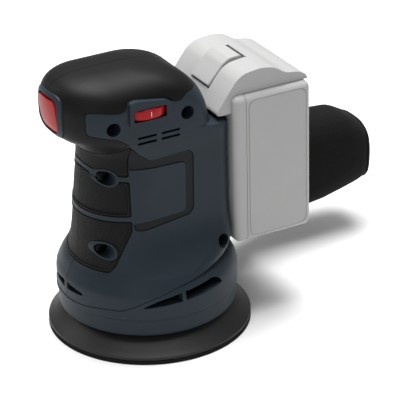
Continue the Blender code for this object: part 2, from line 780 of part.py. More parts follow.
def pad_stack(hub):
    """Abrasive disc, hook layer and moulded pad, with three screws up into the hub."""
    disc = turned(
        "sanding_disc",
        ((0.0, DISC_TOP), (PAD_R, DISC_TOP), (PAD_R, DATUM), (0.0, DATUM)),
        ABRASIVE,
        PAD_CENTRE,
    )
    dust_holes(disc, "disc", 0.0, FACE_LOW)
    face = turned(
        "hook_face",
        ((0.0, FACE_TOP), (FACE_R, FACE_TOP), (FACE_R, FACE_LOW), (0.0, FACE_LOW)),
        HOOK_NYLON,
        PAD_CENTRE,
    )
    dust_holes(face, "face", 0.0, PAD_LOW)
    pad = turned(
        "backing_pad",
        (
            (0.0, 0.0108),
            (0.0238, 0.0108),
            (0.0238, 0.0212),
            (0.0462, 0.0212),
            (0.0500, 0.0190),
            (0.0545, 0.0155),
            (0.0585, 0.0123),
            (0.0612, 0.0102),
            (PAD_R, 0.0092),
            (PAD_R, PAD_LOW + 0.0004),
            (PAD_R - 0.0004, PAD_LOW),
            (0.0, PAD_LOW),
        ),
        PAD_FOAM,
        PAD_CENTRE,
    )
    dust_holes(pad, "pad", 0.0, 0.030)
    for index in range(3):
        turn = 2 * math.pi * index / 3 + math.pi / 2
        place = (0.0190 * math.cos(turn), PAD_CENTRE[1] + 0.0190 * math.sin(turn))
        cut(pad, rod_cutter(f"pad_screw_head_room_{index}", place, 0.0042, 0.0, 0.0098, "Z"))
        cut(pad, rod_cutter(f"pad_screw_room_{index}", place, 0.0024, 0.0, 0.030, "Z"))
        screw = rod(f"pad_screw_{index + 1}", place, 0.0038, 0.0078, 0.0095, "Z", SMALL, STEEL)
        shank = rod(f"pad_screw_shank_{index}", place, 0.0019, 0.0085, 0.0130, "Z", 12, None, CUTTERS)
        unite(screw, as_cutter(shank))
        cut(hub, rod_cutter(f"hub_hole_{index}", place, 0.0022, 0.0, 0.0160, "Z", 12))
    return pad


def pad_hub():
    """The cup bolted on the pad's middle, which holds the spindle's bearing."""
    hub = turned(
        "pad_hub",
        (
            (0.0, 0.0124),
            (0.0105, 0.0124),
            (0.0105, BEARING_LOW - 0.0002),
            (BEARING_R + 0.0002, BEARING_LOW - 0.0002),
            (BEARING_R + 0.0002, 0.0254),
            (0.0158, 0.0254),
            (0.0160, 0.0138),
            (0.0232, 0.0134),
            (0.0232, 0.0111),
            (0.0, 0.0111),
        ),
        ZINC,
        PAD_CENTRE,
        MEDIUM,
    )
    washer("pad_bearing", 0.0050, BEARING_R, BEARING_LOW, BEARING_HIGH, STEEL, PAD_CENTRE)
    return hub


def spindle():
    """The eccentric with its counterweight, and the bolt that holds the pad's bearing on it."""
    eccentric = turned(
        "eccentric_counterweight",
        ((0.0, 0.0395), (0.0088, 0.0395), (0.0088, 0.0255), (0.0, 0.0255)),
        ZINC,
        segments=MEDIUM,
    )
    pin = rod("eccentric_pin", PAD_CENTRE, 0.0048, 0.0170, 0.0270, "Z", MEDIUM, None, CUTTERS)
    weight = rod("weight", (0.0, 0.0), 0.0330, 0.0275, 0.0370, "Z", LARGE, None, CUTTERS)
    cut(weight, box_cutter("weight_side", (-0.050, -0.060, 0.0), (0.050, 0.0, 0.060)))
    unite(eccentric, as_cutter(pin), as_cutter(weight))
    cut(eccentric, rod_cutter("shaft_bore", (0.0, 0.0), SHAFT_R + GAP, 0.0300, 0.060, "Z"))
    cut(eccentric, rod_cutter("bolt_bore", PAD_CENTRE, 0.0024, 0.0, 0.0280, "Z", 12))
    bolt = rod("spindle_bolt", PAD_CENTRE, 0.0065, 0.0126, 0.0161, "Z", 6, STEEL)
    shank = rod("bolt_shank", PAD_CENTRE, 0.0020, 0.0150, 0.0270, "Z", 12, None, CUTTERS)
    return unite(bolt, as_cutter(shank))


def fan():
    """A two-sided centrifugal fan on the shaft: dust below the plate, cooling air above."""
    low, high, plate_low, plate_high = 0.0405, 0.0525, 0.0455, 0.0472
    wheel = turned(
        "fan",
        (
            (SHAFT_R + GAP, high),
            (0.0085, high),
            (0.0085, plate_high),
            (FAN_R, plate_high),
            (FAN_R, plate_low),
            (0.0085, plate_low),
            (0.0085, low),
            (SHAFT_R + GAP, low),
        ),
        DARK_ABS,
        segments=MEDIUM,
        ring=True,
    )
    count = 9
    for index in range(count):
        blade = box(f"blade_{index}", (0.0160, -0.0007, 0.0412), (0.0370, 0.0007, 0.0518), None, CUTTERS)
        turn = Matrix.Rotation(2 * math.pi * index / count, 4, "Z")
        lean = Matrix.Rotation(math.radians(24), 4, "Z")
        foot = Vector((0.0160, 0.0, 0.0))
        blade.data.transform(turn @ Matrix.Translation(foot) @ lean @ Matrix.Translation(-foot))
        unite(wheel, as_cutter(blade))
    return wheel


# ---------------------------------------------------------------- motor
def motor():
    turned(
        "motor_can",
        (
            (0.0100, 0.0600),
            (0.0100, 0.0660),
            (0.0204, 0.0660),
            (0.0204, 0.1150),
            (MOTOR_R, 0.1150),
            (MOTOR_R, 0.0640),
            (0.0120, 0.0640),
            (0.0120, 0.0600),
        ),
        STEEL,
        segments=MEDIUM,
        ring=True,
    )
    turned(
        "motor_end_cap",
        (
            (0.0098, 0.1345),
            (0.0120, 0.1345),
            (0.0120, 0.1270),
            (MOTOR_R, 0.1250),
            (MOTOR_R, 0.1153),
            (0.0195, 0.1153),
            (0.0195, 0.1235),
            (0.0070, 0.1250),
            (0.0070, 0.1272),
            (0.0098, 0.1272),
        ),
        DARK_ABS,
        segments=MEDIUM,
        ring=True,
    )
    washer("lower_bearing", SHAFT_R + 0.0001, 0.0097, 0.0603, 0.0655, STEEL)
    washer("upper_bearing", SHAFT_R + 0.0001, 0.0095, 0.1276, 0.1328, STEEL)
    rod("motor_shaft", (0.0, 0.0), SHAFT_R, 0.0304, 0.1350, "Z", MEDIUM, STEEL)
    washer("armature_core", 0.0085, 0.0155, 0.0740, 0.1030, DARK_STEEL)
    inner, sleeve, coil = SHAFT_R + GAP, 0.0085 - GAP, 0.0135
    turned(
        "armature_winding",
        (
            (inner, 0.1085),
            (coil, 0.1085),
            (coil, 0.1030 + GAP),
            (sleeve, 0.1030 + GAP),
            (sleeve, 0.0740 - GAP),
            (coil, 0.0740 - GAP),
            (coil, 0.0690),
            (inner, 0.0690),
        ),
        COPPER,
        segments=MEDIUM,
        ring=True,
    )
    washer("commutator", inner, 0.0080, 0.1100, 0.1210, COPPER, segments=SMALL)
    washer("motor_magnet", 0.0162, 0.0200, 0.0720, 0.1050, DARK_STEEL)
    for index, side in enumerate((1, -1), 1):
        low, high = sorted((side * 0.0083, side * 0.0170))
        box(f"carbon_brush_{index}", (low, -0.0025, 0.1130), (high, 0.0025, 0.1190), GRAPHITE)


# ---------------------------------------------------------------- battery and its rail
RAIL_NECK, RAIL_HEAD = 0.0240, 0.0275
RAIL_STEP, RAIL_END = 0.0441, 0.0464


def battery_rail():
    """The T-shaped rail on the back of the grip, with the contact blades' block."""
    rail = box("battery_rail", (-RAIL_NECK, 0.0320, RAIL_LOW), (RAIL_NECK, RAIL_END, RAIL_HIGH), DARK_ABS)
    head = box_cutter("rail_head", (-RAIL_HEAD, RAIL_STEP, RAIL_LOW), (RAIL_HEAD, RAIL_END, RAIL_HIGH))
    unite(rail, head)
    cut(rail, box_cutter("rail_hollow", (-0.0200, 0.0200, 0.0740), (0.0200, 0.0380, 0.1310)))
    for index, x in enumerate((-0.0140, 0.0140), 1):
        room = box_cutter(
            f"blade_room_{index}", (x - 0.0008, 0.0300, 0.0776), (x + 0.0008, 0.0600, 0.0904)
        )
        cut(rail, room)
        low, high = (x - 0.0004, 0.0345, 0.0780), (x + 0.0004, 0.0485, 0.0900)
        box(f"contact_blade_{index}", low, high, COPPER)


def round_edges(obj, width):
    bevel = obj.modifiers.new("edges", "BEVEL")
    bevel.width = width
    bevel.segments = 2
    bevel.limit_method = "ANGLE"
    bevel.angle_limit = math.radians(50)
    return obj


def battery_pack():
    """Two shells round ten cells; the cover carries the rail groove and the latch button."""
    split, top = BATTERY_SPLIT_Y, BATTERY_SPLIT_Z
    low, high = (-BATTERY_HALF, 0.0412, 0.0575), (BATTERY_HALF, 0.0940, top)
    case = round_edges(box("battery_case", low, high, PALE_ABS), 0.0028)
    cut(case, box_cutter("case_front", (-FAR, 0.0, 0.0), (FAR, split + GAP, 0.200)))
    cut(case, box_cutter("case_room", (-0.0330, 0.0300, 0.0595), (0.0330, 0.0917, top - 0.0020)))

    cover = round_edges(box("battery_cover", low, high, PALE_ABS), 0.0028)
    cut(cover, box_cutter("cover_rear", (-FAR, split, 0.0), (FAR, 0.200, 0.200)))
    outline = ((split - 0.001, 0.1424),) + BATTERY_TOP + ((0.0938, top + GAP), (split - 0.001, top + GAP))
    block = prism("top_block", outline, -TOP_BLOCK_HALF, TOP_BLOCK_HALF, "X", None, CUTTERS)
    unite(cover, as_cutter(block))
    low, high = (-RAIL_NECK - 0.0004, 0.0300, 0.0500), (RAIL_NECK + 0.0004, RAIL_STEP, RAIL_HIGH + 0.001)
    cut(cover, box_cutter("groove_neck", low, high))
    low = (-RAIL_HEAD - 0.0004, RAIL_STEP - GAP, 0.0500)
    high = (RAIL_HEAD + 0.0004, RAIL_END + 0.0004, RAIL_HIGH + 0.001)
    cut(cover, box_cutter("groove_head", low, high))
    cut(cover, box_cutter("block_room", (-0.0270, 0.0520, 0.1500), (0.0270, 0.0860, 0.1565)))
    for x in (-0.0140, 0.0140):
        low, high = (x - 0.0013, 0.0440, 0.0500), (x + 0.0013, 0.0600, 0.0915)
        cut(cover, box_cutter(f"contact_slot_{x:.3f}", low, high))
    well = prism("button_well", BUTTON_WELL, -BUTTON_HALF - GAP, BUTTON_HALF + GAP, "X", None, CUTTERS)
    cut(cover, as_cutter(well))
    round_edges(prism("battery_button", BUTTON, -BUTTON_HALF, BUTTON_HALF, "X", PALE_ABS), 0.0008)

    cells = None
    for row in (0.0626, 0.0807):
        for step in range(5):
            place = (row, 0.1051 + (step - 2) * 0.0181)
            if cells is None:
                cells = rod("battery_cells", place, 0.00915, -0.0325, 0.0325, "X", SMALL, CELL_WRAP)
            else:
                cell = rod(f"cell_{row}_{step}", place, 0.00915, -0.0325, 0.0325, "X", SMALL, None, CUTTERS)
                unite(cells, as_cutter(cell))
    box("battery_board", (-0.0300, 0.0502, 0.0620), (0.0300, 0.0518, 0.1480), BOARD)
    return case, cover


BUTTON_HALF = 0.0105
BUTTON = (
    (0.0366, 0.1539),
    (0.0473, 0.1658),
    (0.0520, 0.1686),
    (0.0590, 0.1690),
    (0.0605, 0.1676),
    (0.0605, 0.1630),
    (0.0480, 0.1570),
    (0.0415, 0.1495),
)
BUTTON_WELL = (
    (0.0362, 0.1534),
    (0.0441, 0.1466),
    (0.0510, 0.1540),
    (0.0632, 0.1600),
    (0.0632, 0.1750),
    (0.0330, 0.1750),
    (0.0330, 0.1534),
)


# ---------------------------------------------------------------- wiring
def lead(name, x, material):
    """A wire from the rail's contacts up the back of the motor and forward to the switch."""
    route = (
        (x, 0.0300, 0.0840),
        (x, 0.0290, 0.1000),
        (x, 0.0285, 0.1200),
        (x, 0.0270, 0.1310),
        (x, 0.0220, 0.1375),
        (x, 0.0120, 0.1395),
        (x, -0.0100, 0.1398),
        (x, -0.0300, 0.1402),
        (x, -0.0400, 0.1420),
        (x, -0.0450, 0.1460),
        (x, -0.0460, 0.1484),
    )
    curve = bpy.data.curves.new(name, "CURVE")
    curve.dimensions = "3D"
    curve.bevel_depth = 0.0010
    curve.bevel_resolution = 1
    curve.use_fill_caps = True
    spline = curve.splines.new("POLY")
    spline.points.add(len(route) - 1)
    for point, place in zip(spline.points, route):
        point.co = (*place, 1.0)
    return add_piece(name, curve, material)


# ---------------------------------------------------------------- the whole tool
clamshell()
power_switch()
speed_dial()
base_shroud()
washer("pad_brake", 0.0440, 0.0488, 0.0215, 0.0290, SOFT_RUBBER, SKIRT_CENTRE, LARGE)
dust_port()
dust_bag()
pad_stack(pad_hub())
spindle()
fan()
motor()
battery_rail()
battery_pack()
lead("lead_positive", 0.0060, RED_ABS)
lead("lead_negative", -0.0060, DARK_ABS)
for piece in bpy.data.objects:
    piece.location.z -= DATUM
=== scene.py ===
# Cordless random-orbital sander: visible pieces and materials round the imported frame.
import json
import math

import bmesh
import bpy
from mathutils import Matrix, Vector


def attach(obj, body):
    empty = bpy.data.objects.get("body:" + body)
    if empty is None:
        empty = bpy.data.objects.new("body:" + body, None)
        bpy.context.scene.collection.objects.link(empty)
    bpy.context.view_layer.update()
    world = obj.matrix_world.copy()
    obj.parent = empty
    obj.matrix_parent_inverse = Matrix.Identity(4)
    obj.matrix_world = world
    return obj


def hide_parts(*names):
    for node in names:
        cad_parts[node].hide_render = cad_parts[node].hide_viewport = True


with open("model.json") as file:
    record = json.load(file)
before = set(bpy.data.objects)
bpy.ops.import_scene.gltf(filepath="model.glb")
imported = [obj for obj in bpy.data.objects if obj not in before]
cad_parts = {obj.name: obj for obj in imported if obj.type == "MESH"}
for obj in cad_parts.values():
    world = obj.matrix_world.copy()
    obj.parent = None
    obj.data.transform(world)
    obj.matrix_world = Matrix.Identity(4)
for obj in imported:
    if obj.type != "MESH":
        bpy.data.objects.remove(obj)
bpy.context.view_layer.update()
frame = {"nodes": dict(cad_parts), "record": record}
mm = 0.001
print("frame loaded:", len(frame["nodes"]), "nodes")


# ---- small helpers for modelling
def pick(piece):
    bpy.ops.object.select_all(action="DESELECT")
    piece.select_set(True)
    bpy.context.view_layer.objects.active = piece
    return piece


def editOn(piece):
    pick(piece)
    bpy.ops.object.mode_set(mode="EDIT")
    bpy.ops.mesh.select_mode(type="VERT")
    return bmesh.from_edit_mesh(piece.data)


def editOff():
    bpy.ops.object.mode_set(mode="OBJECT")


def faceOutwards(piece, merge=0.0):
    editOn(piece)
    bpy.ops.mesh.select_all(action="SELECT")
    if merge:
        bpy.ops.mesh.remove_doubles(threshold=merge)
    bpy.ops.mesh.normals_make_consistent(inside=False)
    editOff()
    return piece


def settle(piece):
    # leaves the piece's place in its mesh, as the frame's own nodes have it
    pick(piece)
    bpy.ops.object.transform_apply(location=True, rotation=True, scale=True)
    return piece


def outlineSolid(name, outline, low, high, axis="x"):
    # an outline in mm pushed from low to high: y, z along x; x, z along y; x, y along z
    spots = {
        "x": lambda a, b: (low, a, b),
        "y": lambda a, b: (a, low, b),
        "z": lambda a, b: (a, b, low),
    }[axis]
    bpy.ops.mesh.primitive_circle_add(vertices=len(outline), radius=1.0, fill_type="NGON")
    piece = bpy.context.object
    piece.name = name
    work = editOn(piece)
    work.verts.ensure_lookup_table()
    for vert, (a, b) in zip(work.verts, outline):
        vert.co = Vector(spots(a, b)) * mm
    bmesh.update_edit_mesh(piece.data)
    bpy.ops.mesh.select_all(action="SELECT")
    way = [(high - low) * mm * (axis == letter) for letter in "xyz"]
    bpy.ops.mesh.extrude_region_move(TRANSFORM_OT_translate={"value": way})
    bpy.ops.mesh.select_all(action="SELECT")
    bpy.ops.mesh.normals_make_consistent(inside=False)
    editOff()
    return piece


def block(name, low, high, round=0.0, segments=3):
    # a box between two corners in mm
    size = [(b - a) * mm for a, b in zip(low, high)]
    middle = [(a + b) / 2 * mm for a, b in zip(low, high)]
    bpy.ops.mesh.primitive_cube_add(size=1.0, location=middle, scale=size)
    piece = settle(bpy.context.object)
    piece.name = name
    if round:
        editOn(piece)
        bpy.ops.mesh.select_all(action="SELECT")
        bpy.ops.mesh.bevel(offset=round * mm, segments=segments, affect="EDGES")
        editOff()
    return piece


def spun(name, profile, centre=(0.0, 0.0), steps=96, axis="z", closed=False):
    # a profile of radius and height in mm, turned round an axis; centre holds the two other places
    bpy.ops.mesh.primitive_circle_add(vertices=len(profile), radius=1.0, fill_type="NOTHING")
    piece = bpy.context.object
    piece.name = name
    work = editOn(piece)
    work.verts.ensure_lookup_table()
    a, b = centre
    hub, way = {
        "x": ((0, a * mm, b * mm), (1, 0, 0)),
        "y": ((a * mm, 0, b * mm), (0, 1, 0)),
        "z": ((a * mm, b * mm, 0), (0, 0, 1)),
    }[axis]
    for vert, (radius, height) in zip(work.verts, profile):
        spot = {
            "x": (height, a + radius, b),
            "y": (a + radius, height, b),
            "z": (a + radius, b, height),
        }[axis]
        vert.co = Vector(spot) * mm
    if not closed:
        last, first = work.verts[len(profile) - 1], work.verts[0]
        for edge in list(last.link_edges):
            if edge.other_vert(last) is first:
                work.edges.remove(edge)
    bmesh.update_edit_mesh(piece.data)
    bpy.ops.mesh.select_all(action="SELECT")
    bpy.ops.mesh.spin(steps=steps, angle=2 * math.pi, center=hub, axis=way)
    bpy.ops.mesh.select_all(action="SELECT")
    bpy.ops.mesh.remove_doubles(threshold=0.000002)
    bpy.ops.mesh.dissolve_degenerate(threshold=0.000002)
    bpy.ops.mesh.select_all(action="SELECT")
    bpy.ops.mesh.normals_make_consistent(inside=False)
    editOff()
    return piece


def grownForm(name, rings):
    # a solid grown ring by ring from a filled circle
    count = len(rings[0])
    bpy.ops.mesh.primitive_circle_add(vertices=count, radius=1.0, fill_type="NGON")
    piece = bpy.context.object
    piece.name = name
    work = editOn(piece)
    work.verts.ensure_lookup_table()
    row = list(range(count))
    for index, place in zip(row, rings[0]):
        work.verts[index].co = Vector(place) * mm
    bmesh.update_edit_mesh(piece.data)
    bpy.ops.mesh.select_all(action="SELECT")
    for ring in rings[1:]:
        bpy.ops.mesh.extrude_region_move(TRANSFORM_OT_translate={"value": (0, 0, mm)})
        work = bmesh.from_edit_mesh(piece.data)
        work.verts.ensure_lookup_table()
        work.verts.index_update()
        above = []
        for index in row:
            vert = work.verts[index]
            above += [edge.other_vert(vert).index for edge in vert.link_edges if edge.other_vert(vert).select]
        row = above
        for index, place in zip(row, ring):
            work.verts[index].co = Vector(place) * mm
        bmesh.update_edit_mesh(piece.data)
    bpy.ops.mesh.select_all(action="SELECT")
    bpy.ops.mesh.normals_make_consistent(inside=False)
    editOff()
    return piece


def copied(piece, name):
    twin = piece.copy()
    twin.data = piece.data.copy()
    twin.name = name
    bpy.context.scene.collection.objects.link(twin)
    return twin


def joined(pieces):
    bpy.ops.object.select_all(action="DESELECT")
    for piece in pieces:
        piece.select_set(True)
    bpy.context.view_layer.objects.active = pieces[0]
    bpy.ops.object.join()
    return pieces[0]


def reachOf(piece):
    spots = [vert.co for vert in piece.data.vertices]
    return [sign * max(sign * spot[axis] for spot in spots) for axis in range(3) for sign in (-1, 1)]


def openEdges(piece):
    look = bmesh.new()
    look.from_mesh(piece.data)
    count = sum(not edge.is_manifold for edge in look.edges)
    look.free()
    return count


def carve(piece, tool, mode="DIFFERENCE", keep=False):
    # a cut that goes wrong is made again with the tool moved by a few thousandths of a millimetre
    before = piece.data.copy()
    first = reachOf(piece)
    for attempt in range(6):
        step = piece.modifiers.new("carve", "BOOLEAN")
        step.operation = mode
        step.solver = "EXACT"
        step.object = tool
        pick(piece)
        bpy.ops.object.modifier_apply(modifier=step.name)
        grown = 0.0
        if mode != "UNION" and len(piece.data.vertices):
            grown = max(sign * (new - old) for new, old, sign in zip(reachOf(piece), first, (-1, 1) * 3))
        if grown < 0.05 * mm and len(piece.data.vertices) and not openEdges(piece):
            break
        print("cut tried again:", piece.name, tool.name)
        piece.data = before.copy()
        nudge = 0.0013 * (attempt + 1) * mm
        tool.data.transform(Matrix.Translation((nudge, -nudge * 0.7, nudge * 0.6)))
    else:
        print("cut left out:", piece.name)
    bpy.data.meshes.remove(before)
    if not keep:
        bpy.data.objects.remove(tool, do_unlink=True)
    return piece


def halved(piece, x, side):
    # cuts across X and keeps the side given, closed where it was cut
    editOn(piece)
    bpy.ops.mesh.select_all(action="SELECT")
    bpy.ops.mesh.bisect(
        plane_co=(x * mm, 0, 0), plane_no=(1, 0, 0), use_fill=True, clear_inner=side > 0, clear_outer=side < 0,
        threshold=1e-7,
    )
    bpy.ops.mesh.select_all(action="SELECT")
    bpy.ops.mesh.normals_make_consistent(inside=False)
    editOff()
    return piece


def smoothed(piece, angle=32, even=True):
    pick(piece)
    bpy.ops.object.shade_smooth_by_angle(angle=math.radians(angle))
    if even:
        step = piece.modifiers.new("even", "WEIGHTED_NORMAL")
        step.keep_sharp = True
        bpy.ops.object.modifier_apply(modifier=step.name)
    return piece


def dress(piece, material, body, slotName, *nodes):
    piece.data.materials.clear()
    piece.data.materials.append(material)
    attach(piece, body)
    if nodes:
        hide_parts(*nodes)
    return piece


def roundCorners(outline, reach, steps=4):
    # each corner of a closed outline becomes a short curve that starts up to reach mm before it
    curve = []
    for i, point in enumerate(outline):
        here = Vector(point)
        back = Vector(outline[i - 1]) - here
        ahead = Vector(outline[(i + 1) % len(outline)]) - here
        start = here + back.normalized() * min(reach, back.length * 0.46)
        end = here + ahead.normalized() * min(reach, ahead.length * 0.46)
        for k in range(steps + 1):
            t = k / steps
            spot = start * (1 - t) ** 2 + here * 2 * t * (1 - t) + end * t * t
            curve.append((spot.x, spot.y))
    return curve


def grownOutline(outline, amount):
    # the outline moved outwards by amount, inwards when amount is below 0
    count = len(outline)
    area = sum(
        outline[i][0] * outline[(i + 1) % count][1] - outline[(i + 1) % count][0] * outline[i][1]
        for i in range(count)
    )
    sign = 1 if area > 0 else -1
    moved = []
    for i, point in enumerate(outline):
        here = Vector(point)
        before = (here - Vector(outline[i - 1])).normalized()
        after = (Vector(outline[(i + 1) % count]) - here).normalized()
        normal = Vector((before.y + after.y, -before.x - after.x)) * sign
        cosine = max(0.35, math.sqrt(max(0.0, (1 + before.dot(after)) / 2)))
        here = here + normal.normalized() * amount / cosine
        moved.append((here.x, here.y))
    return moved


# ---- materials
def hexColour(code):
    parts = [int(code[i : i + 2], 16) / 255 for i in (1, 3, 5)]
    linear = [p / 12.92 if p <= 0.04045 else ((p + 0.055) / 1.055) ** 2.4 for p in parts]
    return (*linear, 1.0)


def addNode(tree, kind, settings=None, values=None, links=None):
    node = tree.nodes.new("ShaderNode" + kind)
    for key, value in (settings or {}).items():
        setattr(node, key, value)
    for key, value in (values or {}).items():
        node.inputs[key].default_value = value
    for key, source in (links or {}).items():
        tree.links.new(source, node.inputs[key])
    return node


def startMaterial(name, finish):
    # colour that drifts a little over the surface, and a fine moulded or cast grain
    made = bpy.data.materials.new(name)
    made.use_nodes = True
    tree = made.node_tree
    shader = tree.nodes["Principled BSDF"]
    place = addNode(tree, "TexCoord").outputs["Object"]
    drift = addNode(
        tree,
        "TexNoise",
        values={"Scale": 1000 / finish["driftSize"], "Detail": 3.0, "Roughness": 0.55},
        links={"Vector": place},
    )
    blend = addNode(
        tree,
        "Mix",
        {"data_type": "RGBA"},
        {6: hexColour(finish["colour"]), 7: hexColour(finish["drift"])},
        {0: drift.outputs["Fac"]},
    )
    tree.links.new(blend.outputs[2], shader.inputs["Base Color"])
    shader.inputs["Metallic"].default_value = finish.get("metallic", 0.0)
    if not finish.get("metallic"):
        shader.inputs["IOR"].default_value = finish.get("ior", 1.5)
        shader.inputs["Specular IOR Level"].default_value = finish.get("specular", 0.17)
    grain = addNode(
        tree,
        "TexNoise",
        values={"Scale": 1000 / finish["grainSize"], "Detail": 2.0, "Roughness": 0.6},
        links={"Vector": place},
    )
    low, high = finish["roughness"]
    rough = addNode(
        tree, "MapRange", values={"To Min": low, "To Max": high}, links={"Value": grain.outputs["Fac"]}
    )
    tree.links.new(rough.outputs["Result"], shader.inputs["Roughness"])
    bump = addNode(
        tree,
        "Bump",
        values={"Strength": finish["grainStrength"], "Distance": finish["grainDepth"] * mm},
        links={"Height": grain.outputs["Fac"]},
    )
    tree.links.new(bump.outputs["Normal"], shader.inputs["Normal"])
    return made, tree, shader, place, bump


# ABS, injection moulded with a fine spark-eroded grain: a quiet satin, blue-grey
housingAbs = startMaterial(
    "mouldedAbsBlueGrey",
    {"colour": "#1d262d", "drift": "#202a32", "driftSize": 30, "grainSize": 0.7, "grainStrength": 0.25,
     "grainDepth": 0.12, "roughness": (0.42, 0.56)},
)[0]
# TPE moulded over the head: darker, softer sheen than the ABS
headTpe = startMaterial(
    "overmouldedTpeBlack",
    {"colour": "#0b0b0b", "drift": "#0e0d0d", "driftSize": 25, "grainSize": 0.8, "grainStrength": 0.22,
     "grainDepth": 0.12, "roughness": (0.42, 0.55), "specular": 0.14},
)[0]
# the strip in the channel round the label panel: its dark slate colour, the housing's blue-grey darkened, is painted
# shade of the recessed groove
grooveShadeSlate = startMaterial(
    "slateTpePaintedGrooveShade",
    {"colour": "#080c0f", "drift": "#0a0e11", "driftSize": 25, "grainSize": 0.8, "grainStrength": 0.2,
     "grainDepth": 0.1, "roughness": (0.45, 0.58)},
)[0]
# pigmented ABS, polished tool: clear gloss on red
redAbs = startMaterial(
    "polishedAbsRed",
    {"colour": "#9c0e16", "drift": "#920c13", "driftSize": 12, "grainSize": 1.2, "grainStrength": 0.08,
     "grainDepth": 0.05, "roughness": (0.28, 0.36)},
)[0]
rockerAbs = startMaterial(
    "polishedAbsCoral",
    {"colour": "#98130f", "drift": "#8c100d", "driftSize": 12, "grainSize": 1.0, "grainStrength": 0.1,
     "grainDepth": 0.06, "roughness": (0.34, 0.44)},
)[0]
blackAbs = startMaterial(
    "mouldedAbsBlack",
    {"colour": "#191a1b", "drift": "#1d1e1f", "driftSize": 20, "grainSize": 0.7, "grainStrength": 0.2,
     "grainDepth": 0.1, "roughness": (0.45, 0.58)},
)[0]
paleAbs = startMaterial(
    "mouldedAbsPaleGrey",
    {"colour": "#9c9c9c", "drift": "#a2a2a1", "driftSize": 30, "grainSize": 0.7, "grainStrength": 0.2,
     "grainDepth": 0.1, "roughness": (0.4, 0.52)},
)[0]
# polyurethane foam with a moulded skin, a dull sheen
padSkin = startMaterial(
    "mouldedPolyurethaneSkin",
    {"colour": "#161618", "drift": "#1b1b1d", "driftSize": 9, "grainSize": 0.9, "grainStrength": 0.35,
     "grainDepth": 0.15, "roughness": (0.38, 0.52), "specular": 0.3},
)[0]
hookNylon = startMaterial(
    "hookNylonBlack",
    {"colour": "#161617", "drift": "#1c1c1d", "driftSize": 3, "grainSize": 0.5, "grainStrength": 0.9,
     "grainDepth": 0.4, "roughness": (0.8, 0.95)},
)[0]
# aluminium oxide grit bonded on paper
gritPaper = startMaterial(
    "aluminiumOxideGrit",
    {"colour": "#5e4030", "drift": "#8a6246", "driftSize": 0.6, "grainSize": 0.45, "grainStrength": 1.0,
     "grainDepth": 0.3, "roughness": (0.75, 0.95)},
)[0]
paperBack = startMaterial(
    "loopBackedPaperBlack",
    {"colour": "#1b1b1c", "drift": "#202021", "driftSize": 4, "grainSize": 0.6, "grainStrength": 0.5,
     "grainDepth": 0.1, "roughness": (0.8, 0.95)},
)[0]
groundSteel = startMaterial(
    "groundSteel",
    {"colour": "#9b9da0", "drift": "#a8aaad", "driftSize": 3, "grainSize": 0.3, "grainStrength": 0.2,
     "grainDepth": 0.03, "roughness": (0.22, 0.34), "metallic": 1.0},
)[0]
blackenedSteel = startMaterial(
    "blackenedSteel",
    {"colour": "#141518", "drift": "#1b1c20", "driftSize": 3, "grainSize": 0.4, "grainStrength": 0.2,
     "grainDepth": 0.03, "roughness": (0.5, 0.62), "metallic": 1.0},
)[0]
castZinc = startMaterial(
    "castZinc",
    {"colour": "#8c8e92", "drift": "#7f8185", "driftSize": 5, "grainSize": 0.8, "grainStrength": 0.4,
     "grainDepth": 0.08, "roughness": (0.42, 0.58), "metallic": 1.0},
)[0]
drawnCopper = startMaterial(
    "drawnCopper",
    {"colour": "#b4643c", "drift": "#a85a34", "driftSize": 3, "grainSize": 0.5, "grainStrength": 0.3,
     "grainDepth": 0.05, "roughness": (0.28, 0.4), "metallic": 1.0},
)[0]
pressedGraphite = startMaterial(
    "pressedGraphite",
    {"colour": "#2d2c2c", "drift": "#353434", "driftSize": 2, "grainSize": 0.4, "grainStrength": 0.3,
     "grainDepth": 0.05, "roughness": (0.5, 0.65)},
)[0]
solderMask = startMaterial(
    "solderMaskGreen",
    {"colour": "#1e5032", "drift": "#1a472c", "driftSize": 6, "grainSize": 1.5, "grainStrength": 0.1,
     "grainDepth": 0.05, "roughness": (0.35, 0.5)},
)[0]
shrinkSleeve = startMaterial(
    "shrinkSleeveBlue",
    {"colour": "#3c6e96", "drift": "#35658b", "driftSize": 8, "grainSize": 2.0, "grainStrength": 0.1,
     "grainDepth": 0.05, "roughness": (0.25, 0.38)},
)[0]
whiteInk = startMaterial(
    "printedInkWhite",
    {"colour": "#e4c9c6", "drift": "#dcc0bd", "driftSize": 2, "grainSize": 0.5, "grainStrength": 0.05,
     "grainDepth": 0.02, "roughness": (0.5, 0.6)},
)[0]


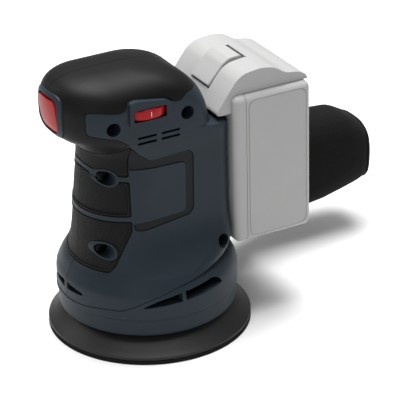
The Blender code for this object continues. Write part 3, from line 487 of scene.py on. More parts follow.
def gripMaterial():
    # TPE with a moulded diamond knurl; the real pitch is about 1 mm, drawn at 1.5 mm so that it shows
    knurl = {"pitch": 1.5, "depth": 0.28, "line": 0.62}
    made, tree, shader, place, fine = startMaterial(
        "diamondKnurledTpe",
        {"colour": "#0c0c0c", "drift": "#0f0f0f", "driftSize": 15, "grainSize": 0.6, "grainStrength": 0.15,
         "grainDepth": 0.08, "roughness": (0.55, 0.7)},
    )
    wrap = addNode(tree, "UVMap", {"uv_map": "wrap"})
    parts = addNode(tree, "SeparateXYZ", links={0: wrap.outputs["UV"]})
    ridges = []
    for sign in ("ADD", "SUBTRACT"):
        slant = addNode(tree, "Math", {"operation": sign}, links={0: parts.outputs[0], 1: parts.outputs[1]})
        wave = addNode(
            tree, "Math", {"operation": "PINGPONG"}, {1: knurl["pitch"] * mm / 2}, {0: slant.outputs[0]}
        )
        ridge = addNode(
            tree, "Math", {"operation": "DIVIDE"}, {1: knurl["pitch"] * mm / 2}, {0: wave.outputs[0]}
        )
        ridges.append(ridge.outputs[0])
    top = addNode(tree, "Math", {"operation": "MAXIMUM"}, links={0: ridges[0], 1: ridges[1]})
    line = addNode(
        tree,
        "MapRange",
        {"interpolation_type": "SMOOTHSTEP"},
        {"From Min": knurl["line"], "From Max": 1.0},
        {"Value": top.outputs[0]},
    )
    bump = addNode(
        tree,
        "Bump",
        values={"Strength": 0.8, "Distance": knurl["depth"] * mm},
        links={"Height": line.outputs["Result"], "Normal": fine.outputs["Normal"]},
    )
    tree.links.new(bump.outputs["Normal"], shader.inputs["Normal"])
    return made


def clothMaterial():
    # woven polyester filter cloth, plain weave; 0.5 mm threads drawn at 1.1 mm so that they show
    weave = {"thread": 0.9, "depth": 0.18}
    made, tree, shader, place, fine = startMaterial(
        "wovenFilterCloth",
        {"colour": "#040405", "drift": "#070708", "driftSize": 6, "grainSize": 0.8, "grainStrength": 0.5,
         "grainDepth": 0.25, "roughness": (0.85, 0.98)},
    )
    heights = []
    for turn in (45, -45):
        slant = addNode(
            tree,
            "Mapping",
            values={"Rotation": (math.radians(20), math.radians(turn), math.radians(turn))},
            links={"Vector": place},
        )
        wave = addNode(
            tree,
            "TexWave",
            {"wave_type": "BANDS"},
            {"Scale": 1000 / weave["thread"] / 6.3, "Distortion": 2.5, "Detail": 2.0},
            {"Vector": slant.outputs["Vector"]},
        )
        heights.append(wave.outputs["Fac"])
    threads = addNode(tree, "Math", {"operation": "MULTIPLY"}, links={0: heights[0], 1: heights[1]})
    bump = addNode(
        tree,
        "Bump",
        values={"Strength": 0.7, "Distance": weave["depth"] * mm},
        links={"Height": threads.outputs[0], "Normal": fine.outputs["Normal"]},
    )
    tree.links.new(bump.outputs["Normal"], shader.inputs["Normal"])
    shader.inputs["Sheen Weight"].default_value = 0.03
    return made


# polyester binding tape, woven and folded over the edge
bindingTape = startMaterial(
    "wovenBindingTape",
    {"colour": "#0b0b0c", "drift": "#101012", "driftSize": 2, "grainSize": 0.9, "grainStrength": 0.6,
     "grainDepth": 0.2, "roughness": (0.7, 0.85)},
)[0]
gripTpe = gripMaterial()
filterCloth = clothMaterial()
slotFinish = {
    "housing_abs": housingAbs,
    "soft_rubber": headTpe,
    "red_abs": redAbs,
    "dark_abs": blackAbs,
    "pad_foam": padSkin,
    "hook_nylon": hookNylon,
    "abrasive_paper": gritPaper,
    "bag_fabric": filterCloth,
    "pale_abs": paleAbs,
    "steel": groundSteel,
    "dark_steel": blackenedSteel,
    "cast_zinc": castZinc,
    "copper": drawnCopper,
    "graphite": pressedGraphite,
    "circuit_board": solderMask,
    "cell_wrap": shrinkSleeve,
}
for part in frame["record"]["subparts"]:
    node = frame["nodes"][part["node"]]
    for index in range(max(1, len(node.material_slots))):
        if not node.material_slots:
            node.data.materials.append(slotFinish[part["material_slot"]])
        node.material_slots[index].material = slotFinish[part["material_slot"]]
print("materials ready:", len(bpy.data.materials))

# ---- the outer body
body = {
    # z, front, rear, half width, front round, rear round of each plan section, in mm
    "sections": (
        (25, -57.4, 52.6, 55, 54.8, 54.8), (39, -57.4, 52.6, 55, 54.8, 54.8),
        (45, -55.4, 50.6, 53, 52.8, 50), (50, -52.9, 44, 50, 49.8, 42), (52.5, -50.9, 40.5, 47.8, 47.6, 32),
        (56, -50.1, 40.5, 44.5, 44.3, 24), (61, -49.2, 40.5, 40.5, 40.3, 15),
        (68, -48.5, 40.5, 36.5, 36.3, 11), (77, -47.7, 40.5, 34, 33.8, 10), (90, -46.6, 40.5, 33, 32.8, 9),
        (105, -45, 40.5, 32.8, 32.6, 9), (118, -43.2, 40.5, 32.8, 32.6, 9),
        (123.5, -43.3, 40.5, 33, 32.5, 9), (128.5, -47.5, 40.5, 33.4, 31.5, 9.5),
        (133.5, -54.2, 40.5, 33.7, 30.5, 10), (136.2, -58.2, 30, 33.8, 30, 12),
        (140, -61.9, 29, 34, 30.8, 13), (147, -64, 27.8, 34, 31.6, 14),
        (155, -64.3, 25, 33.8, 31.8, 16), (161.5, -64, 20.5, 31.8, 30.8, 17),
        (166, -62.4, 15, 28.4, 28, 17), (169.5, -59, 8.5, 23.6, 23.4, 16),
        (172, -53.1, 0, 17.8, 17.6, 15), (173.5, -44.2, -8, 11.5, 11.3, 11),
        (174, -34.5, -19, 6, 5.5, 5.5),
    ),
    "between": 4,  # rings between two sections
    "frontSteps": 14,
    "rearSteps": 7,
    "flankSteps": 9,
    "domeFrom": 151,
    "top": 174,
    "wall": 3.2,
    "rubber": 1.6,
    "sink": 0.5,
    "gap": 0.35,
}


def sectionAt(t):
    # every column eased through the sections without overshooting them
    rows = body["sections"]
    i = min(int(t), len(rows) - 2)
    f = t - i
    values = []
    for column in range(6):
        def slope(k):
            if k <= 0 or k >= len(rows) - 1:
                near = rows[min(k + 1, len(rows) - 1)][column] - rows[min(k, len(rows) - 2)][column]
                return near if k <= 0 else rows[-1][column] - rows[-2][column]
            before = rows[k][column] - rows[k - 1][column]
            after = rows[k + 1][column] - rows[k][column]
            return 0.0 if before * after <= 0 else 2 * before * after / (before + after)
        a, b = rows[i][column], rows[i + 1][column]
        h00, h10 = (1 + 2 * f) * (1 - f) ** 2, f * (1 - f) ** 2
        h01, h11 = f * f * (3 - 2 * f), f * f * (f - 1)
        values.append(h00 * a + h10 * slope(i) + h01 * b + h11 * slope(i + 1))
    return values


def planRing(section, inset):
    z, front, rear, half, roundFront, roundRear = section
    front, rear, half = front + inset, rear - inset, half - inset
    roundFront = max(roundFront - inset, 1.0)
    roundRear = max(roundRear - inset, 1.0)
    dome = max(0.0, (z - body["domeFrom"]) / (body["top"] - body["domeFrom"]))
    height = z - inset * min(1.0, 2 * dome)
    corners = (
        (half - roundFront, front + roundFront, roundFront, -90, body["frontSteps"]),
        (half - roundRear, rear - roundRear, roundRear, 0, body["rearSteps"]),
        (roundRear - half, rear - roundRear, roundRear, 90, body["rearSteps"]),
        (roundFront - half, front + roundFront, roundFront, 180, body["frontSteps"]),
    )
    ring = []
    for index, (x, y, radius, start, steps) in enumerate(corners):
        for step in range(steps + 1):
            turn = math.radians(start + 90 * step / steps)
            ring.append((x + radius * math.cos(turn), y + radius * math.sin(turn), height))
        nextX, nextY, nextRadius, nextStart, _ = corners[(index + 1) % 4]
        turn = math.radians(nextStart)
        ahead = (nextX + nextRadius * math.cos(turn), nextY + nextRadius * math.sin(turn))
        here = ring[-1]
        cuts = body["flankSteps"] if index in (0, 2) else 4
        for step in range(1, cuts):
            t = step / cuts
            ring.append((here[0] + (ahead[0] - here[0]) * t, here[1] + (ahead[1] - here[1]) * t, height))
    return ring


def bodyForm(name, inset):
    last = len(body["sections"]) - 1
    rings = []
    for step in range(last * body["between"] + 1):
        section = sectionAt(step / body["between"])
        if section[3] - inset > 1.5 and section[2] - section[1] > 2 * inset + 3:
            rings.append(planRing(section, inset))
    if inset > 0:
        rings.insert(0, [(x, y, z - 4) for x, y, z in rings[0]])
    return grownForm(name, rings)


outerForm = bodyForm("formOuter", 0.0)
sunkForm = bodyForm("formSunk", body["sink"])
backForm = bodyForm("formRubberBack", body["rubber"])
floorForm = bodyForm("formPocketFloor", body["rubber"] + body["gap"])
innerForm = bodyForm("formInner", body["wall"])
middleForm = bodyForm("formMiddle", (body["sink"] + body["rubber"]) / 2)
forms = [outerForm, sunkForm, backForm, floorForm, innerForm, middleForm]
print("body forms grown:", len(outerForm.data.polygons), "faces each")

# ---- the clamshell, its overmoulded rubber and its screws
clamshell = {
    # side view outlines, y and z in mm
    "armLower": ((-52.5, 144.2), (-44.4, 142.2), (-35.3, 139.9), (-28.5, 135)),
    "armUpper": (
        (-52.5, 158.6), (-43.7, 158), (-32.6, 156.3), (-29, 158), (-28, 161.8), (-23.3, 162.6),
        (-3.8, 159.5), (1.2, 156.2), (6.2, 155.8), (10, 159), (40, 159),
    ),
    "capLower": ((-90, 121), (-50, 121.8), (-45, 124.2), (-41, 127.3), (-36, 131.2), (-29, 134.2)),
    "gripUpper": (
        (-27, 112.5), (-27, 133.4), (-29, 133), (-36, 130), (-41, 126.1), (-45, 123), (-50, 120.6),
        (-90, 119.8), (-90, 119), (-48, 119), (-42, 114.6), (-35, 112.6),
    ),
    "gripMiddle": (
        (-27, 87.2), (-27, 109), (-35, 109.2), (-42.5, 111.4), (-48.5, 115.6), (-90, 115.6), (-90, 87.2),
    ),
    "gripLower": ((-27, 83.8), (-90, 83.8), (-90, 50.5), (-41.5, 52.8), (-38.2, 57), (-27.2, 77.5)),
    "inlay": (
        (-26.2, 132), (-21.8, 126.6), (-14.5, 121.2), (11.2, 122.2), (14, 119.2), (13.4, 84.2), (10.4, 81),
        (-21, 77.4), (-25, 78.2), (-26, 81.8), (-22.3, 82), (6.6, 83.3), (8.6, 85.3), (9.2, 113.6),
        (7.6, 115.8), (-24, 116.8), (-26.2, 116.8),
    ),
    "apron": (
        (-90, 28), (-60, 28.5), (-48, 32.2), (-40.6, 32.2), (-35, 35.2), (-25, 40.5), (-9, 45.5),
        (8, 48.5), (25, 51.5), (45, 54), (90, 55),
    ),
    "dialFrame": ((-27.9, 146.5), (-0.4, 145.8), (0.6, 157.5), (-3.9, 159), (-23.4, 161.8), (-27.6, 161)),
    # screws: y, z and the x of the seat
    "screws": ((-37.6, 147, 23), (10.4, 147, 23), (-37.2, 110.6, 14), (-41.2, 65, 15), (29.8, 60, 21)),
    "screwHole": 4.2,
    "bossRound": 5.4,
    "wheelWindow": ((-25.1, 148.7), (-3.7, 148.7), (-3.7, 155.9), (-25.1, 155.9)),
    "wheelRoom": {"centre": (18.3, -14.4), "round": 18.8, "low": 148.55, "high": 156.05},
    "railOpening": ((-24.3, 30, 65.7), (24.3, 60, 129.3)),
    "reach": 90,
    "ridge": (0.5, 1.5),  # the smooth border of a grip pad, from its edge
}
reach = clamshell["reach"]
split = 0.15
capRegion = clamshell["capLower"] + clamshell["armLower"][::-1] + clamshell["armUpper"] + ((40, 195), (-90, 195))
regions = {
    "headCap": (capRegion, outerForm),
    "gripUpper": (clamshell["gripUpper"], sunkForm),
    "gripMiddle": (clamshell["gripMiddle"], sunkForm),
    "gripLower": (clamshell["gripLower"], sunkForm),
    "inlay": (clamshell["inlay"], sunkForm),
}


def softOutline(region, grow=0.0):
    # a region's outline, grown or shrunk first and then rounded at its corners
    outline = regions[region][0]
    return roundCorners(grownOutline(outline, grow) if grow else outline, 2.6 if region == "headCap" else 1.6)


nose = {"bezelHalf": 15.5, "bezelLow": 138.2, "bezelHigh": 165.4, "rockerHalf": 11.0, "rockerLow": 141.2,
        "rockerHigh": 162.2, "pivot": (-56.0, 151.8), "tilt": 5.0, "room": 0.8, "back": -56.5}


def noseOutline(half, low, high, corner):
    # the rounded frame of the nose, seen from the front
    return roundCorners(((-half, low), (half, low), (half, high), (-half, high)), corner, 6)


def noseOpening():
    g = body["gap"]
    outline = noseOutline(nose["bezelHalf"] + g, nose["bezelLow"] - g, nose["bezelHigh"] + g, 9.3)
    return outlineSolid("noseOpening", outline, -90, -48, "y")


def belowApron():
    line = roundCorners(clamshell["apron"] + ((90, 0), (-90, 0)), 4.0)
    return outlineSolid("belowApron", line, -reach, reach)


def screwTool(y, z, seat, side):
    # counterbore with an eased mouth, and the clearance hole below it
    r = clamshell["screwHole"]
    if side > 0:
        profile = ((0, -12), (2.1, -12), (2.1, seat), (r, seat), (r, reach), (0, reach))
    else:
        profile = ((0, seat - 28), (2.1, seat - 28), (2.1, 12), (0, 12))
    return spun("screwTool", profile, (y, z), 40, "x")


def clamshellHalf(name, side, node):
    half = halved(copied(outerForm, name), side * split, side)
    if side > 0:
        frameSolid = outlineSolid("dialFrameSolid", roundCorners(clamshell["dialFrame"], 2.0, 5), 28, 35.2)
        carve(half, frameSolid, "UNION")
    pockets = []
    for region in regions:
        near, far = sorted((side * -15, side * reach))
        pockets.append(outlineSolid("pocket", softOutline(region, body["gap"]), near, far))
    pocket = joined(pockets)
    carve(pocket, floorForm, keep=True)
    carve(half, pocket)
    carve(half, innerForm, keep=True)
    if side > 0:
        windowShape = roundCorners(clamshell["wheelWindow"], 1.0, 3)
        carve(half, outlineSolid("wheelWindow", windowShape, 30.2, reach))
        room = clamshell["wheelRoom"]
        profile = ((0, room["low"]), (room["round"], room["low"]), (room["round"], room["high"]), (0, room["high"]))
        carve(half, spun("wheelRoom", profile, room["centre"], 64))
    carve(half, belowApron())
    carve(half, noseOpening())
    carve(half, block("railOpening", *clamshell["railOpening"]))
    for index, (y, z, seat) in enumerate(clamshell["screws"]):
        near, far = sorted((side * (split + 0.25), side * reach))
        proud = side > 0 and index in (2, 3)
        boss = spun("boss", ((0, near), (clamshell["bossRound"], near), (clamshell["bossRound"], far), (0, far)),
                    (y, z), 40, "x")
        carve(boss, outerForm if proud else floorForm, "INTERSECT", keep=True)
        carve(half, boss, "UNION")
    tools = [screwTool(y, z, seat, side) for y, z, seat in clamshell["screws"]]
    for height in (137.8, 134.2):
        for start, end in ((-22.6, -10.1), (-7.1, 5.2)):
            near, far = sorted((side * 29, side * reach))
            slotShape = roundCorners(
                ((start, height - 0.8), (end, height - 0.8), (end, height + 0.8), (start, height + 0.8)), 0.7, 3
            )
            tools.append(outlineSolid("ventSlot", slotShape, near, far))
    near, far = sorted((side * 1.5, side * 17))
    frontShape = roundCorners(((near, 34.6), (far, 35.6), (far, 37.6), (near, 39.6)) if side > 0 else
        ((near, 35.6), (far, 34.6), (far, 39.6), (near, 37.6)), 1.4, 4)
    tools.append(outlineSolid("frontVent", frontShape, -70, -47, "y"))
    carve(half, joined(tools))
    dress(smoothed(half, 30), housingAbs, "tool", "housing_abs", node)
    return half


def wrapUv(piece):
    # u runs round the grip and v up it, both in metres, so that the knurl keeps its size
    centre, radius = -14.0 * mm, 32.0 * mm
    layer = piece.data.uv_layers.new(name="wrap")
    for loop in piece.data.loops:
        x, y, z = piece.data.vertices[loop.vertex_index].co
        if y < centre:
            u = radius * math.atan2(x, centre - y)
        else:
            u = math.copysign(radius * math.pi / 2 + (y - centre), x)
        layer.data[loop.index].uv = (u, z)


def rubberPiece(name, region, side, node):
    surface = regions[region][1]
    low, high = sorted((side * split, side * reach))
    piece = outlineSolid(name, softOutline(region), low, high)
    carve(piece, surface, "INTERSECT", keep=True)
    carve(piece, backForm, keep=True)
    if region.startswith("grip"):
        inside, outside = clamshell["ridge"]
        ring = outlineSolid("ring", softOutline(region, -inside), low, high)
        carve(ring, outlineSolid("ringHole", softOutline(region, -outside), -reach - 5, reach + 5))
        carve(ring, outerForm, "INTERSECT", keep=True)
        carve(ring, middleForm, keep=True)
        carve(piece, ring, "UNION")
    if region == "headCap":
        carve(piece, noseOpening())
        if side > 0:
            rim = grownOutline(roundCorners(clamshell["dialFrame"], 2.0, 5), body["gap"])
            carve(piece, outlineSolid("rimTool", rim, 20, reach))
    if region.startswith("grip") and side > 0:
        for y, z, seat in clamshell["screws"][2:4]:
            hole = spun("hole", ((0, seat), (5.8, seat), (5.8, reach), (0, reach)), (y, z), 40, "x")
            carve(piece, hole)
    finish = {"headCap": headTpe, "inlay": grooveShadeSlate}.get(region, gripTpe)
    wrapUv(piece)
    dress(smoothed(piece, 30), finish, "tool", "soft_rubber", node)
    return piece


for side, word in ((1, "Right"), (-1, "Left")):
    clamshellHalf("clamshell" + word, side, "housing_" + word.lower())
    rubberPiece("headCover" + word, "headCap", side, "head_cap_" + word.lower())
    rubberPiece("gripPadUpper" + word, "gripUpper", side, "grip_upper_" + word.lower())
    rubberPiece("gripPadMiddle" + word, "gripMiddle", side, "grip_middle_" + word.lower())
    rubberPiece("gripPadLower" + word, "gripLower", side, "grip_lower_" + word.lower())
    rubberPiece("sideInlay" + word, "inlay", side, "label_inlay_" + word.lower())
print("clamshell and rubber done")


def screwPiece(index, y, z, seat):
    # cross-head pan screw: turned head with a domed edge, cross recess, shank
    shape = {"head": 3.4, "height": 2.4, "shank": 1.6, "length": 28, "recess": 1.8, "blade": 0.45}
    top = seat + 0.3 + shape["height"]
    profile = (
        (0, seat + 0.3 + 0.01 - shape["length"]), (shape["shank"], seat + 0.3 + 0.8 - shape["length"]),
        (shape["shank"], seat + 0.3), (shape["head"], seat + 0.3), (shape["head"], top - 0.9),
        (shape["head"] - 0.35, top - 0.35), (shape["head"] - 1.0, top), (0, top),
    )
    piece = spun(f"caseScrew{index}", profile, (y, z), 32, "x")
    for width, height in ((shape["recess"], shape["blade"]), (shape["blade"], shape["recess"])):
        carve(piece, block("recess", (top - 1.2, y - width, z - height), (top + 2, y + width, z + height)))
    return dress(smoothed(piece), blackenedSteel, "tool", "dark_steel", f"housing_screw_{index}")


for index, (y, z, seat) in enumerate(clamshell["screws"], 1):
    screwPiece(index, y, z, seat)


# ---- nose switch
def noseSwitch():
    bezelOutline = noseOutline(nose["bezelHalf"], nose["bezelLow"], nose["bezelHigh"], 9.0)
    proud = bodyForm("formProud", -0.7)
    bezel = outlineSolid("noseBezel", bezelOutline, -80, nose["back"], "y")
    carve(bezel, proud, "INTERSECT")
    room = nose["room"]
    hole = noseOutline(nose["rockerHalf"] + room, nose["rockerLow"] - room, nose["rockerHigh"] + room, 6.8)
    carve(bezel, outlineSolid("bezelHole", hole, -90, -40, "y"))
    dress(smoothed(bezel), housingAbs, "tool", "housing_abs", "switch_bezel")

    proud = bodyForm("formRocker", -0.4)
    outline = noseOutline(nose["rockerHalf"], nose["rockerLow"], nose["rockerHigh"], 6.0)
    rocker = outlineSolid("powerRocker", outline, -80, nose["pivot"][0], "y")
    carve(rocker, proud, "INTERSECT")
    stem = spun("stem", ((0, -10), (3.0, -10), (3.0, 10), (0, 10)), nose["pivot"], 32, "x")
    carve(rocker, stem, "UNION")
    centre = Vector((0, nose["pivot"][0], nose["pivot"][1])) * mm
    turn = Matrix.Rotation(math.radians(nose["tilt"]), 4, "X")
    rocker.data.transform(Matrix.Translation(centre) @ turn @ Matrix.Translation(-centre))
    edges = rocker.modifiers.new("edges", "BEVEL")
    edges.width = 0.6 * mm
    edges.segments = 3
    edges.angle_limit = math.radians(50)
    pick(rocker)
    bpy.ops.object.modifier_apply(modifier=edges.name)
    dress(smoothed(rocker), rockerAbs, "rocker", "red_abs", "power_switch")


noseSwitch()
print("nose switch done")


# ---- speed dial
def speedDial():
    wheelShape = {"centre": (18.3, -14.4), "round": 18.0, "low": 149.1, "high": 155.5, "teeth": 90, "tooth": 0.25}
    r, low, high = wheelShape["round"], wheelShape["low"], wheelShape["high"]
    profile = (
        (0, low + 4.5), (3.1, low + 4.5), (3.1, low), (r - 1.2, low), (r - 0.5, low + 0.3), (r, low + 1.0),
        (r, high - 1.0), (r - 0.5, high - 0.3), (r - 1.2, high), (0, high),
    )
    wheel = spun("speedDialWheel", profile, wheelShape["centre"], wheelShape["teeth"] * 2)
    cx, cy = (value * mm for value in wheelShape["centre"])
    # fine teeth on the two chamfers, a smooth band between them for the numbers
    for vert in wheel.data.vertices:
        away = Vector((vert.co.x - cx, vert.co.y - cy))
        onEdge = abs(vert.co.z - (low + high) / 2 * mm) > 1.6 * mm
        if away.length > (r - 1.5) * mm and onEdge:
            place = round(math.atan2(away.y, away.x) / (math.pi / wheelShape["teeth"]))
            if place % 2:
                away = away * (1 - wheelShape["tooth"] / r)
                vert.co.x, vert.co.y = cx + away.x, cy + away.y
    dress(smoothed(wheel, 40), redAbs, "dial", "red_abs", "speed_wheel")
    digits = []
    for number in range(1, 7):
        bpy.ops.object.text_add(location=(0, 0, 0))
        digit = bpy.context.object
        digit.data.body = str(number)
        digit.data.size = 4.4 * mm
        digit.data.align_x = "CENTER"
        digit.data.align_y = "CENTER"
        digit.data.extrude = 0.06 * mm
        pick(digit)
        bpy.ops.object.convert(target="MESH")
        digit = bpy.context.object
        angle = math.radians(-45 * (number - 1))
        for vert in digit.data.vertices:
            turn = angle + vert.co.x / (r * mm)
            far = r * mm + vert.co.z - 0.02 * mm
            vert.co = (cx + far * math.cos(turn), cy + far * math.sin(turn), (low + high) / 2 * mm + vert.co.y)
        digits.append(digit)
    numbers = joined(digits)
    numbers.name = "dialNumbers"
    dress(smoothed(faceOutwards(numbers, 0.000001), 40, False), whiteInk, "dial", "red_abs")


speedDial()
print("speed dial done")


# ---- base shroud, dust outlet
def baseShroud():
    shape = {
        "round": 55.3,
        "centre": (0, -2.4),
        "vent": (
            (-31, 34.3), (-18, 35.5), (-5, 36.5), (10, 37.5), (23.5, 38.7), (21, 42), (16.7, 44.2),
            (11, 43.8), (-7, 42), (-20, 39.5), (-27, 36.8),
        ),
        "bar": (-7.2, -4.8),
        "port": (-43.0, 35.5),
    }
    r = shape["round"]
    profile = (
        (40, 49), (40, 45.5), (49, 39), (50, 25), (r - 3.4, 23), (r - 3.4, 15.8), (r - 3.0, 15.4),
        (r - 2.1, 15.4), (r - 1.5, 15.8), (r - 1.2, 16.6), (r - 1.0, 17.6), (r - 1.0, 25.2), (r - 0.8, 25.8),
        (r - 0.2, 26.4), (r, 27.0), (r, 36), (r - 0.1, 38.2), (r - 0.6, 40.6), (r - 1.4, 42.6), (r - 2.6, 44.6),
        (r - 4.2, 46.6), (r - 6.2, 48.2), (r - 8.3, 49),
    )
    shroud = spun("baseShroud", profile, shape["centre"], 144, closed=True)
    above = [(y, z - 0.35) for y, z in clamshell["apron"]]
    line = roundCorners(tuple(above) + ((90, 85), (-90, 85)), 4.0)
    sleeve = outlineSolid("sleeve", line, -reach, reach)
    carve(sleeve, bodyForm("formSleeve", body["wall"] + 0.6))
    carve(shroud, sleeve)
    outline = roundCorners(shape["vent"], 3.0)
    for side in (1, -1):
        near, far = sorted((side * 30, side * reach))
        opening = outlineSolid("opening", outline, near, far)
        carve(opening, block("bar", (-reach - 5, shape["bar"][0], 25), (reach + 5, shape["bar"][1], 60)))
        carve(shroud, opening)
    px, pz = shape["port"]
    carve(shroud, spun("outlet", ((0, 5), (11.8, 5), (11.8, 44), (0, 44)), (px, pz - 1), 48, "y"))
    dress(smoothed(shroud, 30), housingAbs, "tool", "housing_abs", "base_shroud")

    port = spun("dustOutlet", ((12, 0), (12, 80), (13.4, 80), (14, 79.2), (14, 0)), (px, pz), 64, "y", closed=True)
    keepOut = spun("keepOut", ((0, 0), (r + 0.3, 0), (r + 0.3, 95), (0, 95)), shape["centre"], 96)
    carve(port, keepOut)
    dress(smoothed(port), housingAbs, "tool", "housing_abs", "dust_port")
    collar = spun(
        "bagCollar",
        ((14.3, 57.4), (14.8, 57.0), (15.7, 57.0), (16.2, 57.5), (16.2, 60.0), (15.7, 60.6), (15.7, 62.4),
         (16.2, 63.0), (16.2, 85.5), (14.3, 85.5)),
        (px, pz), 64, "y", closed=True,
    )
    dress(smoothed(collar), blackAbs, "bag", "dark_abs", "bag_collar")


baseShroud()
print("shroud and outlet done")


# ---- backing pad, hook face and disc
def padPieces():
    shape = {"centre": (0, -1.25), "round": 62.2, "holes": 8, "hole": 4.5, "circle": 32.5, "steps": 160}
    r, centre = shape["round"], shape["centre"]

    def holes(piece, low, high):
        tools = []
        for index in range(shape["holes"]):
            turn = 2 * math.pi * (index + 0.5) / shape["holes"]
            spot = (shape["circle"] * math.cos(turn), centre[1] + shape["circle"] * math.sin(turn))
            h = shape["hole"]
            tools.append(spun("holeTool", ((0, low), (h, low), (h, high), (0, high)), spot, 32))
        return carve(piece, joined(tools))

    disc = spun("sandingDisc", ((0, 0), (r, 0), (r, 1.0), (0, 1.0)), centre, shape["steps"])
    holes(disc, -2, 3)
    dress(smoothed(disc), paperBack, "pad", "abrasive_paper", "sanding_disc")
    disc.data.materials.append(gritPaper)
    for face in disc.data.polygons:
        if face.normal.z < -0.9:
            face.material_index = 1
    hooks = spun("hookLayer", ((0, 1.3), (r - 0.2, 1.3), (r - 0.2, 2.3), (0, 2.3)), centre, shape["steps"])
    holes(hooks, -2, 5)
    dress(smoothed(hooks), hookNylon, "pad", "hook_nylon", "hook_face")
    pad = spun(
        "backingPad",
        (
            (0, 5.8), (23.8, 5.8), (23.8, 16.2), (46.0, 16.2), (46.6, 15.9), (49.8, 14.1), (53.0, 11.7),
            (56.2, 9.2), (58.8, 7.0), (60.6, 5.5), (61.6, 4.8), (r - 0.1, 4.35), (r, 4.0), (r, 3.1), (r - 0.4, 2.65),
            (0, 2.65),
        ),
        centre, shape["steps"],
    )
    holes(pad, 0, 30)
    tools = []
    for index in range(3):
        turn = 2 * math.pi * index / 3 + math.pi / 2
        spot = (19 * math.cos(turn), centre[1] + 19 * math.sin(turn))
        tools.append(spun("screwRoom", ((0, -5), (4.2, -5), (4.2, 4.8), (2.4, 4.8), (2.4, 25), (0, 25)), spot, 32))
    carve(pad, joined(tools))
    dress(smoothed(pad, 28), padSkin, "pad", "pad_foam", "backing_pad")


padPieces()
print("pad done")


# ---- battery pack
def batteryPack():
    shape = {
        "half": 35, "front": 41.2, "rear": 94, "low": 52.5, "high": 148, "split": 49, "round": 4.0,
        "topHalf": 30.5,
        "top": (
            (33, 137.4), (31.2, 139), (40, 151), (45.5, 157.8), (51, 161), (62, 162.2), (71, 160.5),
            (79, 155.2), (87, 154.2), (93, 151.6), (94, 148),
        ),
        "button": (
            (36.6, 148.9), (47.3, 160.8), (52, 163.6), (59, 164), (60.5, 162.6), (60.5, 158), (48, 152),
            (41.5, 144.5),
        ),
        "well": ((36.2, 148.4), (44.1, 141.6), (51, 149), (63.2, 155), (63.2, 170), (33, 170), (33, 148.4)),
        "buttonHalf": 10.5,
        "neck": 24.4, "head": 27.9, "step": 43.8, "end": 46.8, "railTop": 130,
    }
    low, high = (-shape["half"], shape["front"], shape["low"]), (shape["half"], shape["rear"], shape["high"])
    case = block("batteryCase", low, high, shape["round"], 5)
    carve(case, block("frontTool", (-90, 0, 0), (90, shape["split"] + 0.3, 200)))
    carve(case, block("caseRoom", (-33, 30, 54.5), (33, 91.7, 146)))
    # a raised field on each flank
    field = roundCorners(((51.2, 56), (90, 56), (90, 144.6), (51.2, 144.6)), 5, 6)
    for side in (1, -1):
        near, far = sorted((side * (shape["half"] - 0.35), side * 60))
        grooveTool = outlineSolid("groove", grownOutline(field, 0.7), near, far)
        carve(grooveTool, outlineSolid("grooveInside", field, -70, 70))
        carve(case, grooveTool)
    dress(smoothed(case), paleAbs, "battery", "pale_abs", "battery_case")

    cover = block("batteryCover", low, high, shape["round"], 5)
    carve(cover, block("rearTool", (-90, shape["split"], 0), (90, 200, 200)))
    top = ((shape["split"] - 1, 137.4),) + shape["top"] + ((93.8, 148.3), (shape["split"] - 1, 148.3))
    topBlock = outlineSolid("topBlock", roundCorners(top, 2.6, 4), -shape["topHalf"], shape["topHalf"])
    edges = topBlock.modifiers.new("edges", "BEVEL")
    edges.width = 2.0 * mm
    edges.segments = 4
    edges.limit_method = "ANGLE"
    edges.angle_limit = math.radians(60)
    pick(topBlock)
    bpy.ops.object.modifier_apply(modifier=edges.name)
    carve(cover, topBlock, "UNION")
    step, end, top = shape["step"], shape["end"], shape["railTop"]
    carve(cover, block("grooveNeck", (-shape["neck"], 30, 40), (shape["neck"], step + 0.3, top)))
    carve(cover, block("grooveHead", (-shape["head"], step, 40), (shape["head"], end, top)))
    for x in (-14, 14):
        carve(cover, block("contactSlot", (x - 1.3, 44, 40), (x + 1.3, 60, 86.5)))
    half = shape["buttonHalf"]
    carve(cover, outlineSolid("buttonWell", shape["well"], -half - 0.4, half + 0.4))
    dress(smoothed(cover), paleAbs, "battery", "pale_abs", "battery_cover")

    button = outlineSolid("releaseButton", roundCorners(shape["button"], 1.2, 3), -half, half)
    edges = button.modifiers.new("edges", "BEVEL")
    edges.width = 0.9 * mm
    edges.segments = 3
    edges.limit_method = "ANGLE"
    edges.angle_limit = math.radians(60)
    pick(button)
    bpy.ops.object.modifier_apply(modifier=edges.name)
    dress(smoothed(button), paleAbs, "latch", "pale_abs", "battery_button")


batteryPack()
print("battery done")


